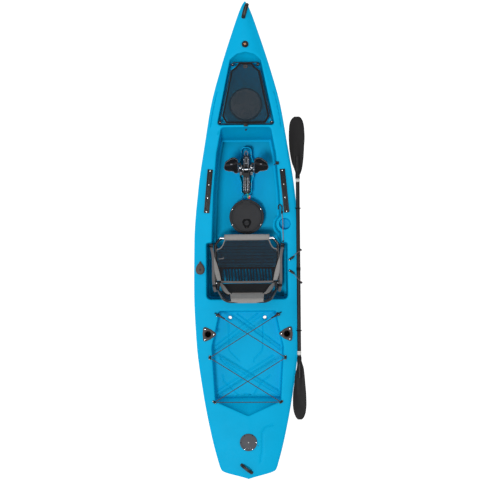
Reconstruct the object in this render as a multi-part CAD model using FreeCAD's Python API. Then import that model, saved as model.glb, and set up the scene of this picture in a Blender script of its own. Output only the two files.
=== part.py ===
import FreeCAD, Part
import math
import os
from FreeCAD import Vector as V

# Pedal kayak, sit-on-top. Millimetres. +Y points to the bow, +X to starboard, +Z up.
# The origin is amidships on the keel's flat, which runs at z = 0.
# Sub-parts that belong to one side are made for starboard and mirrored for port.

# ---------------------------------------------------------------- driving dimensions
LENGTH = 3660.0
SKIN = 5.0                       # moulded wall of hull and deck
EDGE_RISE = 12.0                 # the deck's edge stands this far above the gunwale line
KEEL_HALF = 22.0                 # half-width of the flat along the keel

# y, half-breadth, keel height, gunwale height, rise of the deck's centre over its edge
STATIONS = [
    (LENGTH / 2, 10, 300, 395, 3),
    (1784, 33, 215, 393, 8),
    (1600, 100, 95, 383, 24),
    (1323, 190, 30, 364, 34),
    (1046, 266, 8, 346, 24),
    (769, 314, 0, 331, 14),
    (400, 371, 0, 315, 8),
    (0, 405, 0, 305, 6),
    (-400, 410, 0, 300, 6),
    (-800, 393, 0, 302, 8),
    (-1169, 346, 8, 308, 12),
    (-1446, 295, 30, 314, 20),
    (-1700, 232, 66, 320, 14),
    (-1766, 208, 80, 322, 10),
    (-LENGTH / 2, 8, 110, 324, 2),
]

COCKPIT_FLOOR = 112.0
FRONT_FLOOR = 255.0
REAR_FLOOR = 205.0

SLOT_AFT, SLOT_FORE = 371.0, 736.0      # drive well, lengthwise
SLOT_HALF, SLOT_MID_HALF = 36.5, 52.5   # its half-width at the ends and in the middle

DRIVE_Y, DRIVE_Z = 560.0, 168.0         # pedal crank axis
FIN_Z = 6.0                             # height of the fins' sweep axis
FIN_Y = {"front": 600.0, "rear": 432.0}
PEDAL_Z = 352.0

HATCH_Y, HATCH_R = 190.0, 136.5
BOW_HATCH_Y, BOW_HATCH_R = 1059.0, 130.0

RUDDER_Y = -1550.0
RUDDER_KICK_Z = 6.0
RUDDER_TUBE = 18.0                      # outer radius of the rudder stock's tube
STEER = (-361.0, -226.0)

ROD_X, ROD_Y, ROD_BORE = 304.0, -723.0, 22.5
SCUPPER_X, SCUPPER_Y, SCUPPER_R = 136.0, -601.0, 14.0

SEAT_HALF = 246.0
SEAT_TUBE = 11.0
SEAT_PIVOT = (-332.0, 246.0)
PADDLE_X, PADDLE_Z, PADDLE_R = 395.0, 348.0, 15.0

X_AXIS, Y_AXIS, Z_AXIS = V(1, 0, 0), V(0, 1, 0), V(0, 0, 1)

screws = []                      # heads of the screws that hold fittings down, one node in all


# ---------------------------------------------------------------- small helpers
def export(shape, node):
    shape.exportStep("parts/%s.step" % node)


def group(*shapes):
    return Part.makeCompound(list(shapes))


def box(low, high):
    return Part.makeBox(high[0] - low[0], high[1] - low[1], high[2] - low[2], V(*low))


def rod(centre, axis, radius, length):
    """A round bar that starts at centre and runs along axis."""
    return Part.makeCylinder(radius, length, V(*centre), axis)


def ring(centre, axis, outer, inner, length):
    return rod(centre, axis, outer, length).cut(rod(centre, axis, inner, length))


def screw(x, y, z):
    screws.append(rod((x, y, z), Z_AXIS, 4.5, 2.5))


def mirrored(shape):
    return shape.mirror(V(0, 0, 0), X_AXIS)


def sided(shape, side):
    return shape if side > 0 else mirrored(shape)


def prism(points, low, high, radius=0.0):
    """An upright prism over a plan outline whose corners are rounded to a radius."""
    edges = []
    n = len(points)
    ends = []
    for i in range(n):
        before, here, after = (V(*points[(i + k - 1) % n], low) for k in range(3))
        back = (before - here).normalize()
        on = (after - here).normalize()
        half = 0.5 * math.acos(max(-1, min(1, back.dot(on))))
        room = 0.45 * min((before - here).Length, (after - here).Length)
        reach = min(radius / math.tan(half), room) if radius else 0
        if reach < 0.5 or half > math.radians(88):
            ends.append((here, here, None))
            continue
        r = reach * math.tan(half)
        middle = here + (back + on).normalize() * (r / math.sin(half) - r)
        ends.append((here + back * reach, here + on * reach, middle))
    for i in range(n):
        start, stop, middle = ends[i]
        if middle is not None:
            edges.append(Part.Arc(start, middle, stop).toShape())
        edges.append(Part.LineSegment(stop, ends[(i + 1) % n][0]).toShape())
    face = Part.Face(Part.Wire(edges))
    return face.extrude(V(0, 0, high - low))


def both_sides(points):
    """Closes a starboard outline, given bow to stern, with its port half."""
    port = [(-x, y) for x, y in reversed(points) if abs(x) > 0.01]
    return points + port


def path_wire(points, bend=None):
    """Straight runs joined by tangent arcs. The arcs are as large as their runs allow, or bend."""
    points = [V(*p) for p in points]
    edges = []
    start = points[0]
    radii = []
    for i in range(1, len(points) - 1):
        back = (points[i - 1] - points[i])
        on = (points[i + 1] - points[i])
        shorter = min(back.Length, on.Length)
        back.normalize()
        on.normalize()
        turn = math.pi - math.acos(max(-1, min(1, back.dot(on))))
        reach = 0.45 * shorter
        if bend:
            reach = min(reach, bend * math.tan(turn / 2))
        r = reach / math.tan(turn / 2)
        radii.append(round(r))
        middle = points[i] + (back + on).normalize() * (r / math.cos(turn / 2) - r)
        edges.append(Part.LineSegment(start, points[i] + back * reach).toShape())
        edges.append(Part.Arc(points[i] + back * reach, middle, points[i] + on * reach).toShape())
        start = points[i] + on * reach
    edges.append(Part.LineSegment(start, points[-1]).toShape())
    return Part.Wire(edges), radii


def pipe(points, radius, bend=None, wall=None):
    """A round tube along a path, solid unless it has a wall."""
    wire, _ = path_wire(points, bend)
    first = V(*points[0])
    along = (V(*points[1]) - first).normalize()
    outer = Part.Wire([Part.makeCircle(radius, first, along)])
    body = wire.makePipeShell([outer], True, True)
    if wall:
        inner = Part.Wire([Part.makeCircle(radius - wall, first, along)])
        body = body.cut(wire.makePipeShell([inner], True, True))
    return body


def pipe_straight(start, stop, radius):
    a, b = V(*start), V(*stop)
    return Part.makeCylinder(radius, (b - a).Length, a, b - a)


def cord(name, points, radius):
    """A soft cord's tube. Prints its bend radii and compares its volume with section times length."""
    wire, radii = path_wire(points)
    body = pipe(points, radius)
    ratio = body.Volume / (math.pi * radius ** 2 * wire.Length)
    print("%s length %.0f mm, radii %s, volume ratio %.3f" % (name, wire.Length, radii, ratio))
    return body


# ---------------------------------------------------------------- the hull's form
def station(y):
    """Half-breadth, keel, gunwale and crown at any y, straight between the stations."""
    y = max(min(y, STATIONS[0][0]), STATIONS[-1][0])
    for a, b in zip(STATIONS, STATIONS[1:]):
        if b[0] <= y <= a[0]:
            t = (a[0] - y) / (a[0] - b[0])
            return [p + (q - p) * t for p, q in zip(a[1:], b[1:])]


def side_points(y):
    """The hull's starboard side at y, keel to gunwale."""
    half, keel, sheer, _ = station(y)
    depth = sheer - keel
    flat = min(KEEL_HALF, 0.3 * half)
    share = [(0.32, 0.03), (0.72, 0.16), (0.90, 0.42), (0.97, 0.75), (1.0, 1.0)]
    return [(flat, keel)] + [(max(flat, half * s), keel + depth * t) for s, t in share]


def deck_points(y):
    """The deck's starboard side at y, edge to centre."""
    half, _, sheer, crown = station(y)
    edge = half - min(22.0, 0.3 * half)
    top = sheer + EDGE_RISE
    return [(edge, top), (0.55 * half, top + 0.75 * crown), (0.0, top + crown)]


def deck_z(x, y):
    """Height of the deck's outer face."""
    half, _, sheer, _ = station(y)
    points = [(half, sheer)] + deck_points(y)
    for (xa, za), (xb, zb) in zip(points, points[1:]):
        if xb <= abs(x) <= xa:
            return zb + (za - zb) * (abs(x) - xb) / (xa - xb)
    return sheer


def loft(profile):
    """A solid through one closed half-profile per station, mirrored about the centre plane."""
    wires = []
    for y, *_ in STATIONS:
        right = profile(y)
        left = [(-x, z) for x, z in reversed(right) if x > 0.01]
        corners = [V(x, y, z) for x, z in right + left]
        wires.append(Part.makePolygon(corners + corners[:1]))
    return Part.makeLoft(wires, True, True)


def lower_outer(y):
    return side_points(y)


def lower_inner(y):
    half, keel, sheer, _ = station(y)
    inner = []
    for x, z in side_points(y):
        rise = SKIN * (1 - (z - keel) / (sheer - keel))
        inner.append((max(0.5, x * (1 - SKIN / (half + SKIN))), z + rise))
    return inner + [(inner[-1][0], sheer + 40)]


def upper_outer(y):
    half, _, sheer, _ = station(y)
    return [(half, sheer)] + deck_points(y)


def upper_inner(y):
    half, _, sheer, _ = station(y)
    thin = 1 - SKIN / (half + SKIN)
    points = [(x * thin, z - SKIN) for x, z in deck_points(y)]
    return [(half * thin, sheer - 60), (half * thin, sheer - 0.4 * SKIN)] + points


def whole(y):
    return side_points(y) + deck_points(y)


# ---------------------------------------------------------------- wells in the deck
FRONT_WELL = both_sides([(0, 1440), (66, 1425), (118, 1384), (222, 885)])
COCKPIT_WELL = both_sides([(190, 868), (228, 670), (254, 382), (272, -40)])
SEAT_WELL = both_sides([(314, -20), (314, -457)])
REAR_WELL = both_sides([(223, -546), (225, -592), (277, -824), (252, -1238), (0, -1349)])
DRIVE_SLOT = both_sides([
    (20, SLOT_FORE), (SLOT_HALF, SLOT_FORE - 14), (SLOT_HALF + 2, 660), (SLOT_MID_HALF, 628),
    (SLOT_MID_HALF, 508), (SLOT_HALF + 2, 470), (SLOT_HALF, SLOT_AFT + 14), (20, SLOT_AFT)])
CUP = (294.0, 123.0, 48.5, 62.0)        # x, y, radius, depth


def grown(points, by):
    """The outline moved outwards by a distance."""
    centre_x = sum(p[0] for p in points) / len(points)
    centre_y = sum(p[1] for p in points) / len(points)
    face = Part.Face(Part.makePolygon([V(x, y, 0) for x, y in points + points[:1]]))
    wider = face.makeOffset2D(by, 2).OuterWire
    corners = [(v.Point.x, v.Point.y) for v in wider.OrderedVertexes]
    inside = (centre_x, centre_y)
    assert abs(sum(c[0] for c in corners) / len(corners) - inside[0]) < 60
    return corners


def well_solids(by, deeper):
    """The spaces sunk into the deck, grown sideways and downwards for their walls."""
    top = 500.0
    solids = [
        prism(grown(FRONT_WELL, by) if by else FRONT_WELL, FRONT_FLOOR - deeper, top, 26),
        prism(grown(COCKPIT_WELL, by) if by else COCKPIT_WELL, COCKPIT_FLOOR - deeper, top, 30),
        prism(grown(SEAT_WELL, by) if by else SEAT_WELL, COCKPIT_FLOOR - deeper, top, 34),
        prism(grown(REAR_WELL, by) if by else REAR_WELL, REAR_FLOOR - deeper, top, 34),
        rod((CUP[0], CUP[1], deck_z(CUP[0], CUP[1]) - CUP[3] - deeper), Z_AXIS, CUP[2] + by, 300),
        rod((0, RUDDER_Y, deck_z(0, RUDDER_Y) - 46 - deeper), Z_AXIS, 58 + by, 300),
    ]
    whole_shape = solids[0]
    for solid in solids[1:]:
        whole_shape = whole_shape.fuse(solid)
    return whole_shape


def slot(by, low, high):
    return prism(grown(DRIVE_SLOT, by) if by else DRIVE_SLOT, low, high, 9)


def scupper_places():
    return [(SCUPPER_X, SCUPPER_Y), (-SCUPPER_X, SCUPPER_Y)]


def rod_places():
    return [(ROD_X, ROD_Y), (-ROD_X, ROD_Y)]


# The hull's skin is kept as panels that meet edge to edge along its chines and frames.
BOTTOM_CUTS = [1830, 1600, 1200, 741, 664, 632, 504, 466, 366, -400, -900, -1480, -1550, -1620, -1830]
CHINE_CUTS = [1200, 741, 366, -400, -900, -1480, -1830]
SIDE_CUTS = [1830, 1600, 1200, 741, 366, -100, -600, -1100, -1500, -1700, -1830]
KEEL_PANEL = 105.0               # half-width of the panels beside the keel
CHINE_Z = 100.0                  # height of the seam between bottom and side panels
BOW_ENTRY = 1600                 # forward of this the bottom and side are one panel


def hull_panels(hull):
    """The hull's skin as bottom, chine and side panels, starboard then port."""
    big = 900.0
    cells = []
    for fore, aft in zip(BOTTOM_CUTS, BOTTOM_CUTS[1:]):
        top = big if aft >= BOW_ENTRY else CHINE_Z
        width = KEEL_PANEL if aft < 1200 else big
        cells.append(((0, aft, -50), (width, fore, top)))
    for fore, aft in zip(CHINE_CUTS, CHINE_CUTS[1:]):
        cells.append(((KEEL_PANEL, aft, -50), (big, fore, CHINE_Z)))
    for fore, aft in zip(SIDE_CUTS, SIDE_CUTS[1:]):
        if aft < BOW_ENTRY:
            cells.append(((0, aft, CHINE_Z), (big, fore, big)))
    panels = []
    for low, high in cells:
        for side in (1, -1):
            cell = sided(box(low, high), side)
            panels += [s for s in hull.common(cell).Solids if s.Volume > 50]
    print("hull panels: %d" % len(panels))
    return panels


def make_shells():
    outer = loft(whole)
    sockets = [rod((x, y, -10), Z_AXIS, SCUPPER_R + 3, 500) for x, y in scupper_places()]
    sockets += [rod((x, y, 90), Z_AXIS, ROD_BORE + 3, 400) for x, y in rod_places()]
    sockets += [rod((STEER[0], STEER[1], 200), Z_AXIS, 8, 300)]
    sockets += [rod((0, RUDDER_Y, -10), Z_AXIS, RUDDER_TUBE, 500)]
    sockets += [rod((0, HATCH_Y, 80), Z_AXIS, HATCH_R - 20, 60)]
    sockets += [rod((0, BOW_HATCH_Y, 230), Z_AXIS, BOW_HATCH_R - 20, 60)]
    sockets += [rod((0, 1498, 300), Z_AXIS, 19, 200)]
    sockets += [slot(SKIN, -10, COCKPIT_FLOOR + 10)]

    hull = loft(lower_outer).cut(loft(lower_inner))
    deck = loft(upper_outer).cut(loft(upper_inner))
    deck = deck.fuse(well_solids(SKIN, SKIN).common(outer))
    deck = deck.cut(well_solids(0, 0))
    for socket in sockets:
        hull = hull.cut(socket)
        deck = deck.cut(socket)
    export(group(*hull_panels(hull)), "hull_shell")
    export(deck, "deck_shell")
    trunk = slot(SKIN, 3.0, COCKPIT_FLOOR).cut(slot(0, 0, COCKPIT_FLOOR + 5))
    export(trunk, "drive_well_trunk")


def make_sleeves():
    """The sleeves through hull and deck: two scuppers, the rudder's tube, the steering bush."""
    sleeves = []
    for x, y in scupper_places():
        sleeves.append(ring((x, y, 12), Z_AXIS, SCUPPER_R + 3, SCUPPER_R, REAR_FLOOR - 12))
    sleeves.append(ring((0, RUDDER_Y, 46), Z_AXIS, RUDDER_TUBE, 11.05, deck_z(0, RUDDER_Y) - 46 - 46))
    sleeves.append(ring((STEER[0], STEER[1], deck_z(*STEER) + 1), Z_AXIS, 31, 6.05, 7))
    export(group(*sleeves), "hull_sleeves")


# ---------------------------------------------------------------- carrying handles and plug
def handle(front, back, half_width, height):
    """A moulded strap handle: a flat bar held up by a foot at each end."""
    a, b = V(*front), V(*back)
    along = (b - a).normalize()
    length = (b - a).Length
    angle = math.degrees(math.atan2(along.y, along.x))
    bar = box((14, -half_width, height), (length - 14, half_width, height + 9))
    bar = bar.makeFillet(3.5, bar.Edges)
    feet = [box((s, -half_width * 0.8, 0), (s + 26, half_width * 0.8, height + 4)) for s in (0, length - 26)]
    shape = bar
    for foot in feet:
        shape = shape.fuse(foot.makeFillet(3, [e for e in foot.Edges if e.Length > 5]))
    shape.rotate(V(0, 0, 0), Z_AXIS, angle)
    shape.translate(V(a.x, a.y, 0))
    return shape


def make_handles():
    bow = handle((17, 1806, 0), (-13, 1702, 0), 11, 24)
    bow.translate(V(0, 0, deck_z(0, 1750) + 6))
    stern = handle((-56, -1720, 0), (26, -1784, 0), 12, 24)
    stern.translate(V(0, 0, deck_z(0, -1740) + 1))
    export(group(bow, stern), "carry_handles")
    for x, y in ((14, 1795), (-10, 1712)):
        screw(x, y, deck_z(0, 1750) + 39)
    for x, y in ((-46, -1728), (16, -1776)):
        screw(x, y, deck_z(0, -1740) + 34)
    top = deck_z(0, 1498)
    plug = rod((0, 1498, top - 24), Z_AXIS, 18.5, 25).fuse(rod((0, 1498, top + 1), Z_AXIS, 22.5, 7))
    plug = plug.fuse(box((-15, 1495, top + 7), (15, 1501, top + 15)))
    export(plug, "bow_drain_plug")


# ---------------------------------------------------------------- hatches
def hatch_ring(y, floor, outer, opening):
    flange = ring((0, y, floor), Z_AXIS, outer, opening, 8)
    collar = ring((0, y, floor - 24), Z_AXIS, opening + 3.5, opening, 26)
    return flange.fuse(collar)


def make_front_hatch():
    top = FRONT_FLOOR + 8
    lid = rod((0, BOW_HATCH_Y, top + 3.3), Z_AXIS, 116, 7)
    lid = lid.fuse(rod((0, BOW_HATCH_Y, top - 12), Z_AXIS, 101, 16))
    lid = lid.fuse(box((-70, BOW_HATCH_Y - 7, top + 9), (70, BOW_HATCH_Y + 7, top + 18)))
    export(lid, "front_hatch_lid")


def make_centre_hatch():
    top = COCKPIT_FLOOR + 8
    body = hatch_ring(HATCH_Y, COCKPIT_FLOOR, HATCH_R, 106)
    ears = [box((x, HATCH_Y + 122, top - 1), (x + 10, HATCH_Y + 134, top + 9)) for x in (-40, 30)]
    pin_y, pin_z = HATCH_Y + 128, top + 4.5
    for ear in ears:
        body = body.fuse(ear)
    body = body.cut(rod((-60, pin_y, pin_z), X_AXIS, 2.5, 120))
    front = hatch_ring(BOW_HATCH_Y, FRONT_FLOOR, BOW_HATCH_R, 106)
    export(group(body, front), "hatch_rings")
    lid = rod((0, HATCH_Y, top + 3.3), Z_AXIS, 118, 7)
    lid = lid.fuse(rod((0, HATCH_Y, top - 12), Z_AXIS, 100, 16))
    lid = lid.fuse(rod((-29, pin_y, pin_z), X_AXIS, 4.2, 58))
    lid = lid.fuse(box((-29, HATCH_Y + 112, pin_z - 1), (29, pin_y, pin_z + 4)))
    lid = lid.cut(rod((-60, pin_y, pin_z), X_AXIS, 2.55, 120))
    lid = lid.cut(rod((0, HATCH_Y - 50, top - 20), Z_AXIS, 7.05, 60))
    export(lid, "centre_hatch_lid")
    export(rod((-40, pin_y, pin_z), X_AXIS, 2.5, 80), "centre_hatch_hinge_pin")
    centre_seal = ring((0, HATCH_Y, top), Z_AXIS, 114, 108, 3)
    front_seal = ring((0, BOW_HATCH_Y, FRONT_FLOOR + 8), Z_AXIS, 114, 108, 3)
    export(group(centre_seal, front_seal), "hatch_seals")
    shield = prism(both_sides([(20, HATCH_Y - 20), (33, HATCH_Y - 44), (10, HATCH_Y - 88)]),
                   top + 10.8, top + 16, 9)
    latch = shield.fuse(rod((0, HATCH_Y - 50, top + 14), Z_AXIS, 21, 8))
    latch = latch.fuse(rod((0, HATCH_Y - 50, top - 16), Z_AXIS, 7, 30))
    latch = latch.fuse(box((-7, HATCH_Y - 76, top - 20), (7, HATCH_Y - 44, top - 14)))
    export(latch, "centre_hatch_latch")
    for x, y in ((112, 61), (112, -61), (-112, 61), (-112, -61)):
        screw(x, HATCH_Y + y, top)
        screw(0.96 * x, BOW_HATCH_Y + y, FRONT_FLOOR + 8)


# ---------------------------------------------------------------- front cargo cover
def cover_z(y):
    """The cover lies a little below the deck and follows its rise to the bow."""
    return deck_z(150, y) - 16


def cover_posts():
    """Moulded posts in the recess's corners that hold the cover's cord."""
    posts = []
    for x, y in ((98, 1350), (200, 908)):
        post = rod((x, y, cover_z(y) - 8), Z_AXIS, 6, 20)
        posts += [post, mirrored(post)]
    return posts


def make_front_cover():
    half = [(47, 1363), (107, 1304), (180, 955), (150, 902)]
    low_aft, high_fore = cover_z(902), cover_z(1363)
    slope = math.atan2(high_fore - low_aft, 1363 - 902)
    sheet = prism(both_sides([(x, 902 + (y - 902) / math.cos(slope)) for x, y in half]), 0, 3, 8)
    sheet.rotate(V(0, 902, 0), X_AXIS, math.degrees(slope))
    sheet.translate(V(0, 0, low_aft))
    export(sheet, "front_cover_mesh")
    line = pipe_straight((112, 1306, cover_z(1306) + 4), (197, 926, cover_z(926) + 4), 3)
    cross = pipe_straight((-96, 1372, cover_z(1372) + 4), (96, 1372, cover_z(1372) + 4), 3)
    rear = pipe_straight((-196, 895, cover_z(895) + 2), (196, 895, cover_z(895) + 2), 3)
    export(group(cross, rear, line, mirrored(line)), "front_cover_bungee")


# ---------------------------------------------------------------- tracks, rod holders, eyes
TRACK_FORE, TRACK_AFT = (277.0, 546.0), (309.0, 210.0)
TRACK_WIDTH = 41.0


def make_tracks():
    fore, aft = V(*TRACK_FORE, 0), V(*TRACK_AFT, 0)
    length = (fore - aft).Length
    z = deck_z(aft.x, aft.y) + 4
    rise = math.atan2(deck_z(fore.x, fore.y) + 5 - z, length)
    base = box((0, -TRACK_WIDTH / 2, 0), (length, TRACK_WIDTH / 2, 3))
    for side in (-1, 1):
        y = side * (TRACK_WIDTH / 2 - 3)
        base = base.fuse(box((0, y - 3, 0), (length, y + 3, 10)))
        base = base.fuse(box((0, min(y, y - side * 8), 8), (length, max(y, y - side * 8), 11)))
    rungs = 8
    for i in range(rungs + 1):
        x = 4 + i * (length - 8) / rungs
        base = base.fuse(box((x - 4, -TRACK_WIDTH / 2 + 3, 2), (x + 4, TRACK_WIDTH / 2 - 3, 7)))
    angle = math.degrees(math.atan2(fore.y - aft.y, fore.x - aft.x))
    base.rotate(V(0, 0, 0), Y_AXIS, -math.degrees(rise))
    base.rotate(V(0, 0, 0), Z_AXIS, angle)
    base.translate(V(aft.x, aft.y, z))
    export(group(base, mirrored(base)), "accessory_tracks")
    for share in (0.01, 0.375, 0.625, 0.99):
        p = aft + (fore - aft) * share
        head = z + 8 + math.sin(rise) * length * share
        screw(p.x, p.y, head)
        screw(-p.x, p.y, head)


def make_rod_holders():
    z = deck_z(ROD_X, ROD_Y) + 4
    corners = []
    for k in range(3):
        turn = math.radians(180 + 120 * k)
        corners.append((ROD_X + 72 * math.cos(turn), ROD_Y + 72 * math.sin(turn)))
    flange = prism(corners, z, z + 7, 17)
    holder = flange.fuse(rod((ROD_X, ROD_Y, z - 200), Z_AXIS, ROD_BORE + 3, 206))
    holder = holder.cut(rod((ROD_X, ROD_Y, z - 190), Z_AXIS, ROD_BORE, 300))
    export(group(holder, mirrored(holder)), "rod_holders")
    for x, y in corners:
        inward = V(ROD_X - x, ROD_Y - y, 0).normalize() * 30
        for side in (-1, 1):
            screw(side * (x + inward.x), y + inward.y, z + 7)


BUNGEE_EYES = [(-228, -575), (290, -905), (-259, -1243), (254, -1245), (-292, -902), (237, -572)]
BUNGEE_RISE = 15.0


def eye_z(x, y):
    return deck_z(x, y) + BUNGEE_RISE


def make_cargo():
    eyes = []
    for x, y in BUNGEE_EYES:
        foot = rod((x, y, deck_z(x, y) + 3), Z_AXIS, 13, 5)
        post = rod((x, y, deck_z(x, y) + 7), Z_AXIS, 5, 5)
        eyes.append(foot.fuse(post))
    hooks = []
    for x, y, toward in ((-228, -575, 1), (237, -572, -1)):
        hook = box((0, -9, 0), (46, 9, 12))
        hook = hook.makeFillet(4, hook.Edges)
        hook.rotate(V(0, 0, 0), Z_AXIS, -30 if toward > 0 else 210)
        hook.translate(V(x - 8 * toward, y + 5, eye_z(x, y) - 2))
        hooks.append(hook)
    export(group(*eyes, *hooks, *cover_posts()), "bungee_anchors")
    runs = []
    stops = list(BUNGEE_EYES)
    for index, (a, b) in enumerate(zip(stops, stops[1:])):
        lift = 14 + 8 * (index % 2)
        start = V(a[0], a[1], eye_z(*a) + lift)
        stop = V(b[0], b[1], eye_z(*b) + lift)
        along = (stop - start).normalize()
        runs.append(pipe_straight(start + along * 46, stop - along * 12, 3))
    export(group(*runs), "cargo_bungee")


# ---------------------------------------------------------------- steering and rudder
def make_steering():
    x, y = STEER
    z = deck_z(x, y) + 1
    grip = prism([(x - 6, y + 66), (x + 6, y + 66), (x + 33, y + 6), (x + 24, y - 34),
                  (x - 24, y - 34), (x - 33, y + 6)], z + 7.4, z + 22, 18)
    grip = grip.cut(rod((x, y, z), Z_AXIS, 6, 60))
    export(grip, "steering_handle")
    drum = rod((x, y, 264), Z_AXIS, 20, 12).cut(ring((x, y, 268), Z_AXIS, 21, 17, 4))
    export(rod((x, y, 262), Z_AXIS, 6, z + 24 - 262).fuse(drum), "steering_shaft")
    lines = []
    for shift in (-5, 5):
        route = [(x + 12 + shift, y - 26, 270), (-350 + shift, -800, 282), (-300 + shift, -1240, 284),
                 (-62 + shift, -1500, 284)]
        lines.append(pipe(route, 1.5, 200))
    export(group(*lines), "steering_lines")


def make_rudder():
    deck = deck_z(0, RUDDER_Y)
    drum = rod((0, RUDDER_Y, deck - 44), Z_AXIS, 42, 12)
    drum = drum.cut(ring((0, RUDDER_Y, deck - 41), Z_AXIS, 43, 38, 6))
    export(rod((0, RUDDER_Y, 24), Z_AXIS, 11, deck - 30 - 24).fuse(drum), "rudder_stock")
    head = box((-17, RUDDER_Y - 34, -14), (17, RUDDER_Y + 26, 38))
    head = head.makeFillet(6, [e for e in head.Edges if abs(e.Length - 52) < 0.1])
    head = head.cut(box((-7, RUDDER_Y - 60, -30), (7, RUDDER_Y + 60, 24)))
    head = head.cut(rod((0, RUDDER_Y, 24), Z_AXIS, 11, 40))
    head = head.cut(rod((-30, RUDDER_Y - 8, RUDDER_KICK_Z), X_AXIS, 4, 60))
    export(head, "rudder_head")
    export(rod((-20, RUDDER_Y - 8, RUDDER_KICK_Z), X_AXIS, 4, 40), "rudder_pivot_pin")
    outline = [(10, 10), (12, -40), (-2, -190), (-58, -205), (-84, -150), (-76, -60), (-20, -14), (-10, 10)]
    corners = [V(-5, RUDDER_Y - 8 + y, RUDDER_KICK_Z + z) for y, z in outline]
    blade = Part.Face(Part.makePolygon(corners + corners[:1])).extrude(V(10, 0, 0))
    blade = blade.cut(rod((-30, RUDDER_Y - 8, RUDDER_KICK_Z), X_AXIS, 4.05, 60))
    export(blade, "rudder_blade")
    cap = ring((0, RUDDER_Y, deck + 1), Z_AXIS, 66, 40, 8)
    cap = cap.fuse(rod((0, RUDDER_Y, deck + 1), Z_AXIS, 56, 6))
    export(cap, "rudder_well_cap")
    turns = [math.radians(60 + 60 * k) for k in range(6)]
    for t in turns:
        screw(60 * math.cos(t), RUDDER_Y + 60 * math.sin(t), deck + 9)


# ---------------------------------------------------------------- pedal drive
def make_drive():
    spine = box((-24, 376, 36), (24, 664, 150))
    spine = spine.makeFillet(12, [e for e in spine.Edges if abs(e.Length - 114) < 0.1])
    spine = spine.cut(box((-60, 360, 128), (60, 500, 200)))
    spine = spine.cut(rod((-60, DRIVE_Y, DRIVE_Z), X_AXIS, 30, 120))
    for side in (-1, 1):
        spine = spine.fuse(sided(box((16, DRIVE_Y - 26, 120), (24, DRIVE_Y + 26, DRIVE_Z + 20)), side))
        spine = spine.fuse(sided(box((20, 540, COCKPIT_FLOOR + 0.5), (62, 600, 124)), side))
        spine = spine.fuse(sided(box((20, 519, COCKPIT_FLOOR + 0.5), (50, 541, 124)), side))
        spine = spine.fuse(sided(rod((42, 528, 122), Z_AXIS, 4, 11), side))
    spine = spine.cut(rod((-60, DRIVE_Y, DRIVE_Z), X_AXIS, 9.05, 120))
    for y in FIN_Y.values():
        for start in (y - 56, y + 42):
            spine = spine.fuse(rod((0, start, FIN_Z), Y_AXIS, 10, 14))
            spine = spine.fuse(box((-9, start, FIN_Z), (9, start + 14, 40)))
    for y in FIN_Y.values():
        spine = spine.cut(rod((0, y - 80, FIN_Z), Y_AXIS, 5, 160))
    export(spine, "drive_spine")
    pins = [rod((0, y - 56, FIN_Z), Y_AXIS, 5, 112) for y in FIN_Y.values()]
    export(group(rod((-62, DRIVE_Y, DRIVE_Z), X_AXIS, 9, 124), *pins), "drive_shafts")
    ribs = []
    for i in range(6):
        y = 404 + 14 * i
        ribs.append(box((-15, y, 128.5), (15, y + 5, 136)))
    export(group(*ribs), "drive_chains")
    for name, side in (("starboard", 1), ("port", -1)):
        make_crank(name, side)
    for name, y in FIN_Y.items():
        make_fin(name, y)


def make_crank(name, side):
    """One swinging crank: hub on the shaft, arm up to the pedal axle, pedal and heel strap."""
    hub = ring((32, DRIVE_Y, DRIVE_Z), X_AXIS, 19, 9.05, 22)
    arm = pipe([(43, DRIVE_Y, DRIVE_Z + 14), (43, DRIVE_Y + 6, 258), (50, DRIVE_Y + 18, 318),
                (50, DRIVE_Y + 25, PEDAL_Z)], 9, 60)
    axle = rod((41, DRIVE_Y + 25, PEDAL_Z), X_AXIS, 6, 104)
    crank = hub.fuse(arm).fuse(rod((41, DRIVE_Y + 25, PEDAL_Z), X_AXIS, 11, 18)).fuse(axle)
    export(sided(crank, side), "crank_" + name)
    plate = prism([(66, -74), (100, -86), (150, -58), (170, 6), (158, 62), (112, 82), (72, 66), (62, 0)],
                  0, 13, 20)
    plate = plate.fuse(box((70, -10, -10), (140, 10, 2)))
    plate.rotate(V(0, 0, 0), X_AXIS, 52)
    axis = V(0, DRIVE_Y + 25, PEDAL_Z)
    lift = V(0, -math.sin(math.radians(52)), math.cos(math.radians(52))) * 5
    plate.translate(axis + lift)
    plate = plate.cut(rod((20, DRIVE_Y + 25, PEDAL_Z), X_AXIS, 6.05, 160))
    plate = plate.cut(rod((20, DRIVE_Y + 25, PEDAL_Z), X_AXIS, 12, 43))
    export(sided(plate, side), "pedal_" + name)
    lever = box((35, 520, 124.5), (50, 600, 131))
    lever = lever.cut(rod((42, 528, 110), Z_AXIS, 4.05, 30))
    export(sided(lever, side), "drive_lock_" + name)


def make_fin(name, y):
    """A swinging mast on its fore-and-aft pin, with a flexible blade held on it."""
    pivot = FIN_Z
    hub = ring((0, y - 40, pivot), Y_AXIS, 9, 5.05, 80)
    mast = rod((0, y + 30, pivot - 8), V(0, 0, -1), 6, 380)
    mast = mast.cut(rod((0, y - 60, pivot), Y_AXIS, 5.05, 120))
    export(hub.fuse(mast), "fin_mast_" + name)
    outline = [(44, -70), (44, -330), (30, -384), (4, -384), (-30, -330), (-48, -200), (-44, -90), (-20, -62)]
    corners = [V(-8, y + dy, pivot + dz) for dy, dz in outline]
    blade = Part.Face(Part.makePolygon(corners + corners[:1])).extrude(V(16, 0, 0))
    blade = blade.cut(rod((0, y + 30, pivot), V(0, 0, -1), 6, 420))
    export(blade, "fin_blade_" + name)


def make_leash_hook():
    z = deck_z(262, 240) + 9
    hook = pipe([(246, 240, z), (244, 260, z), (259, 270, z), (272, 254, z), (271, 226, z), (272, 206, z)], 5)
    return group(hook, rod((280, -12, z - 6), Z_AXIS, 5, 9))


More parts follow.
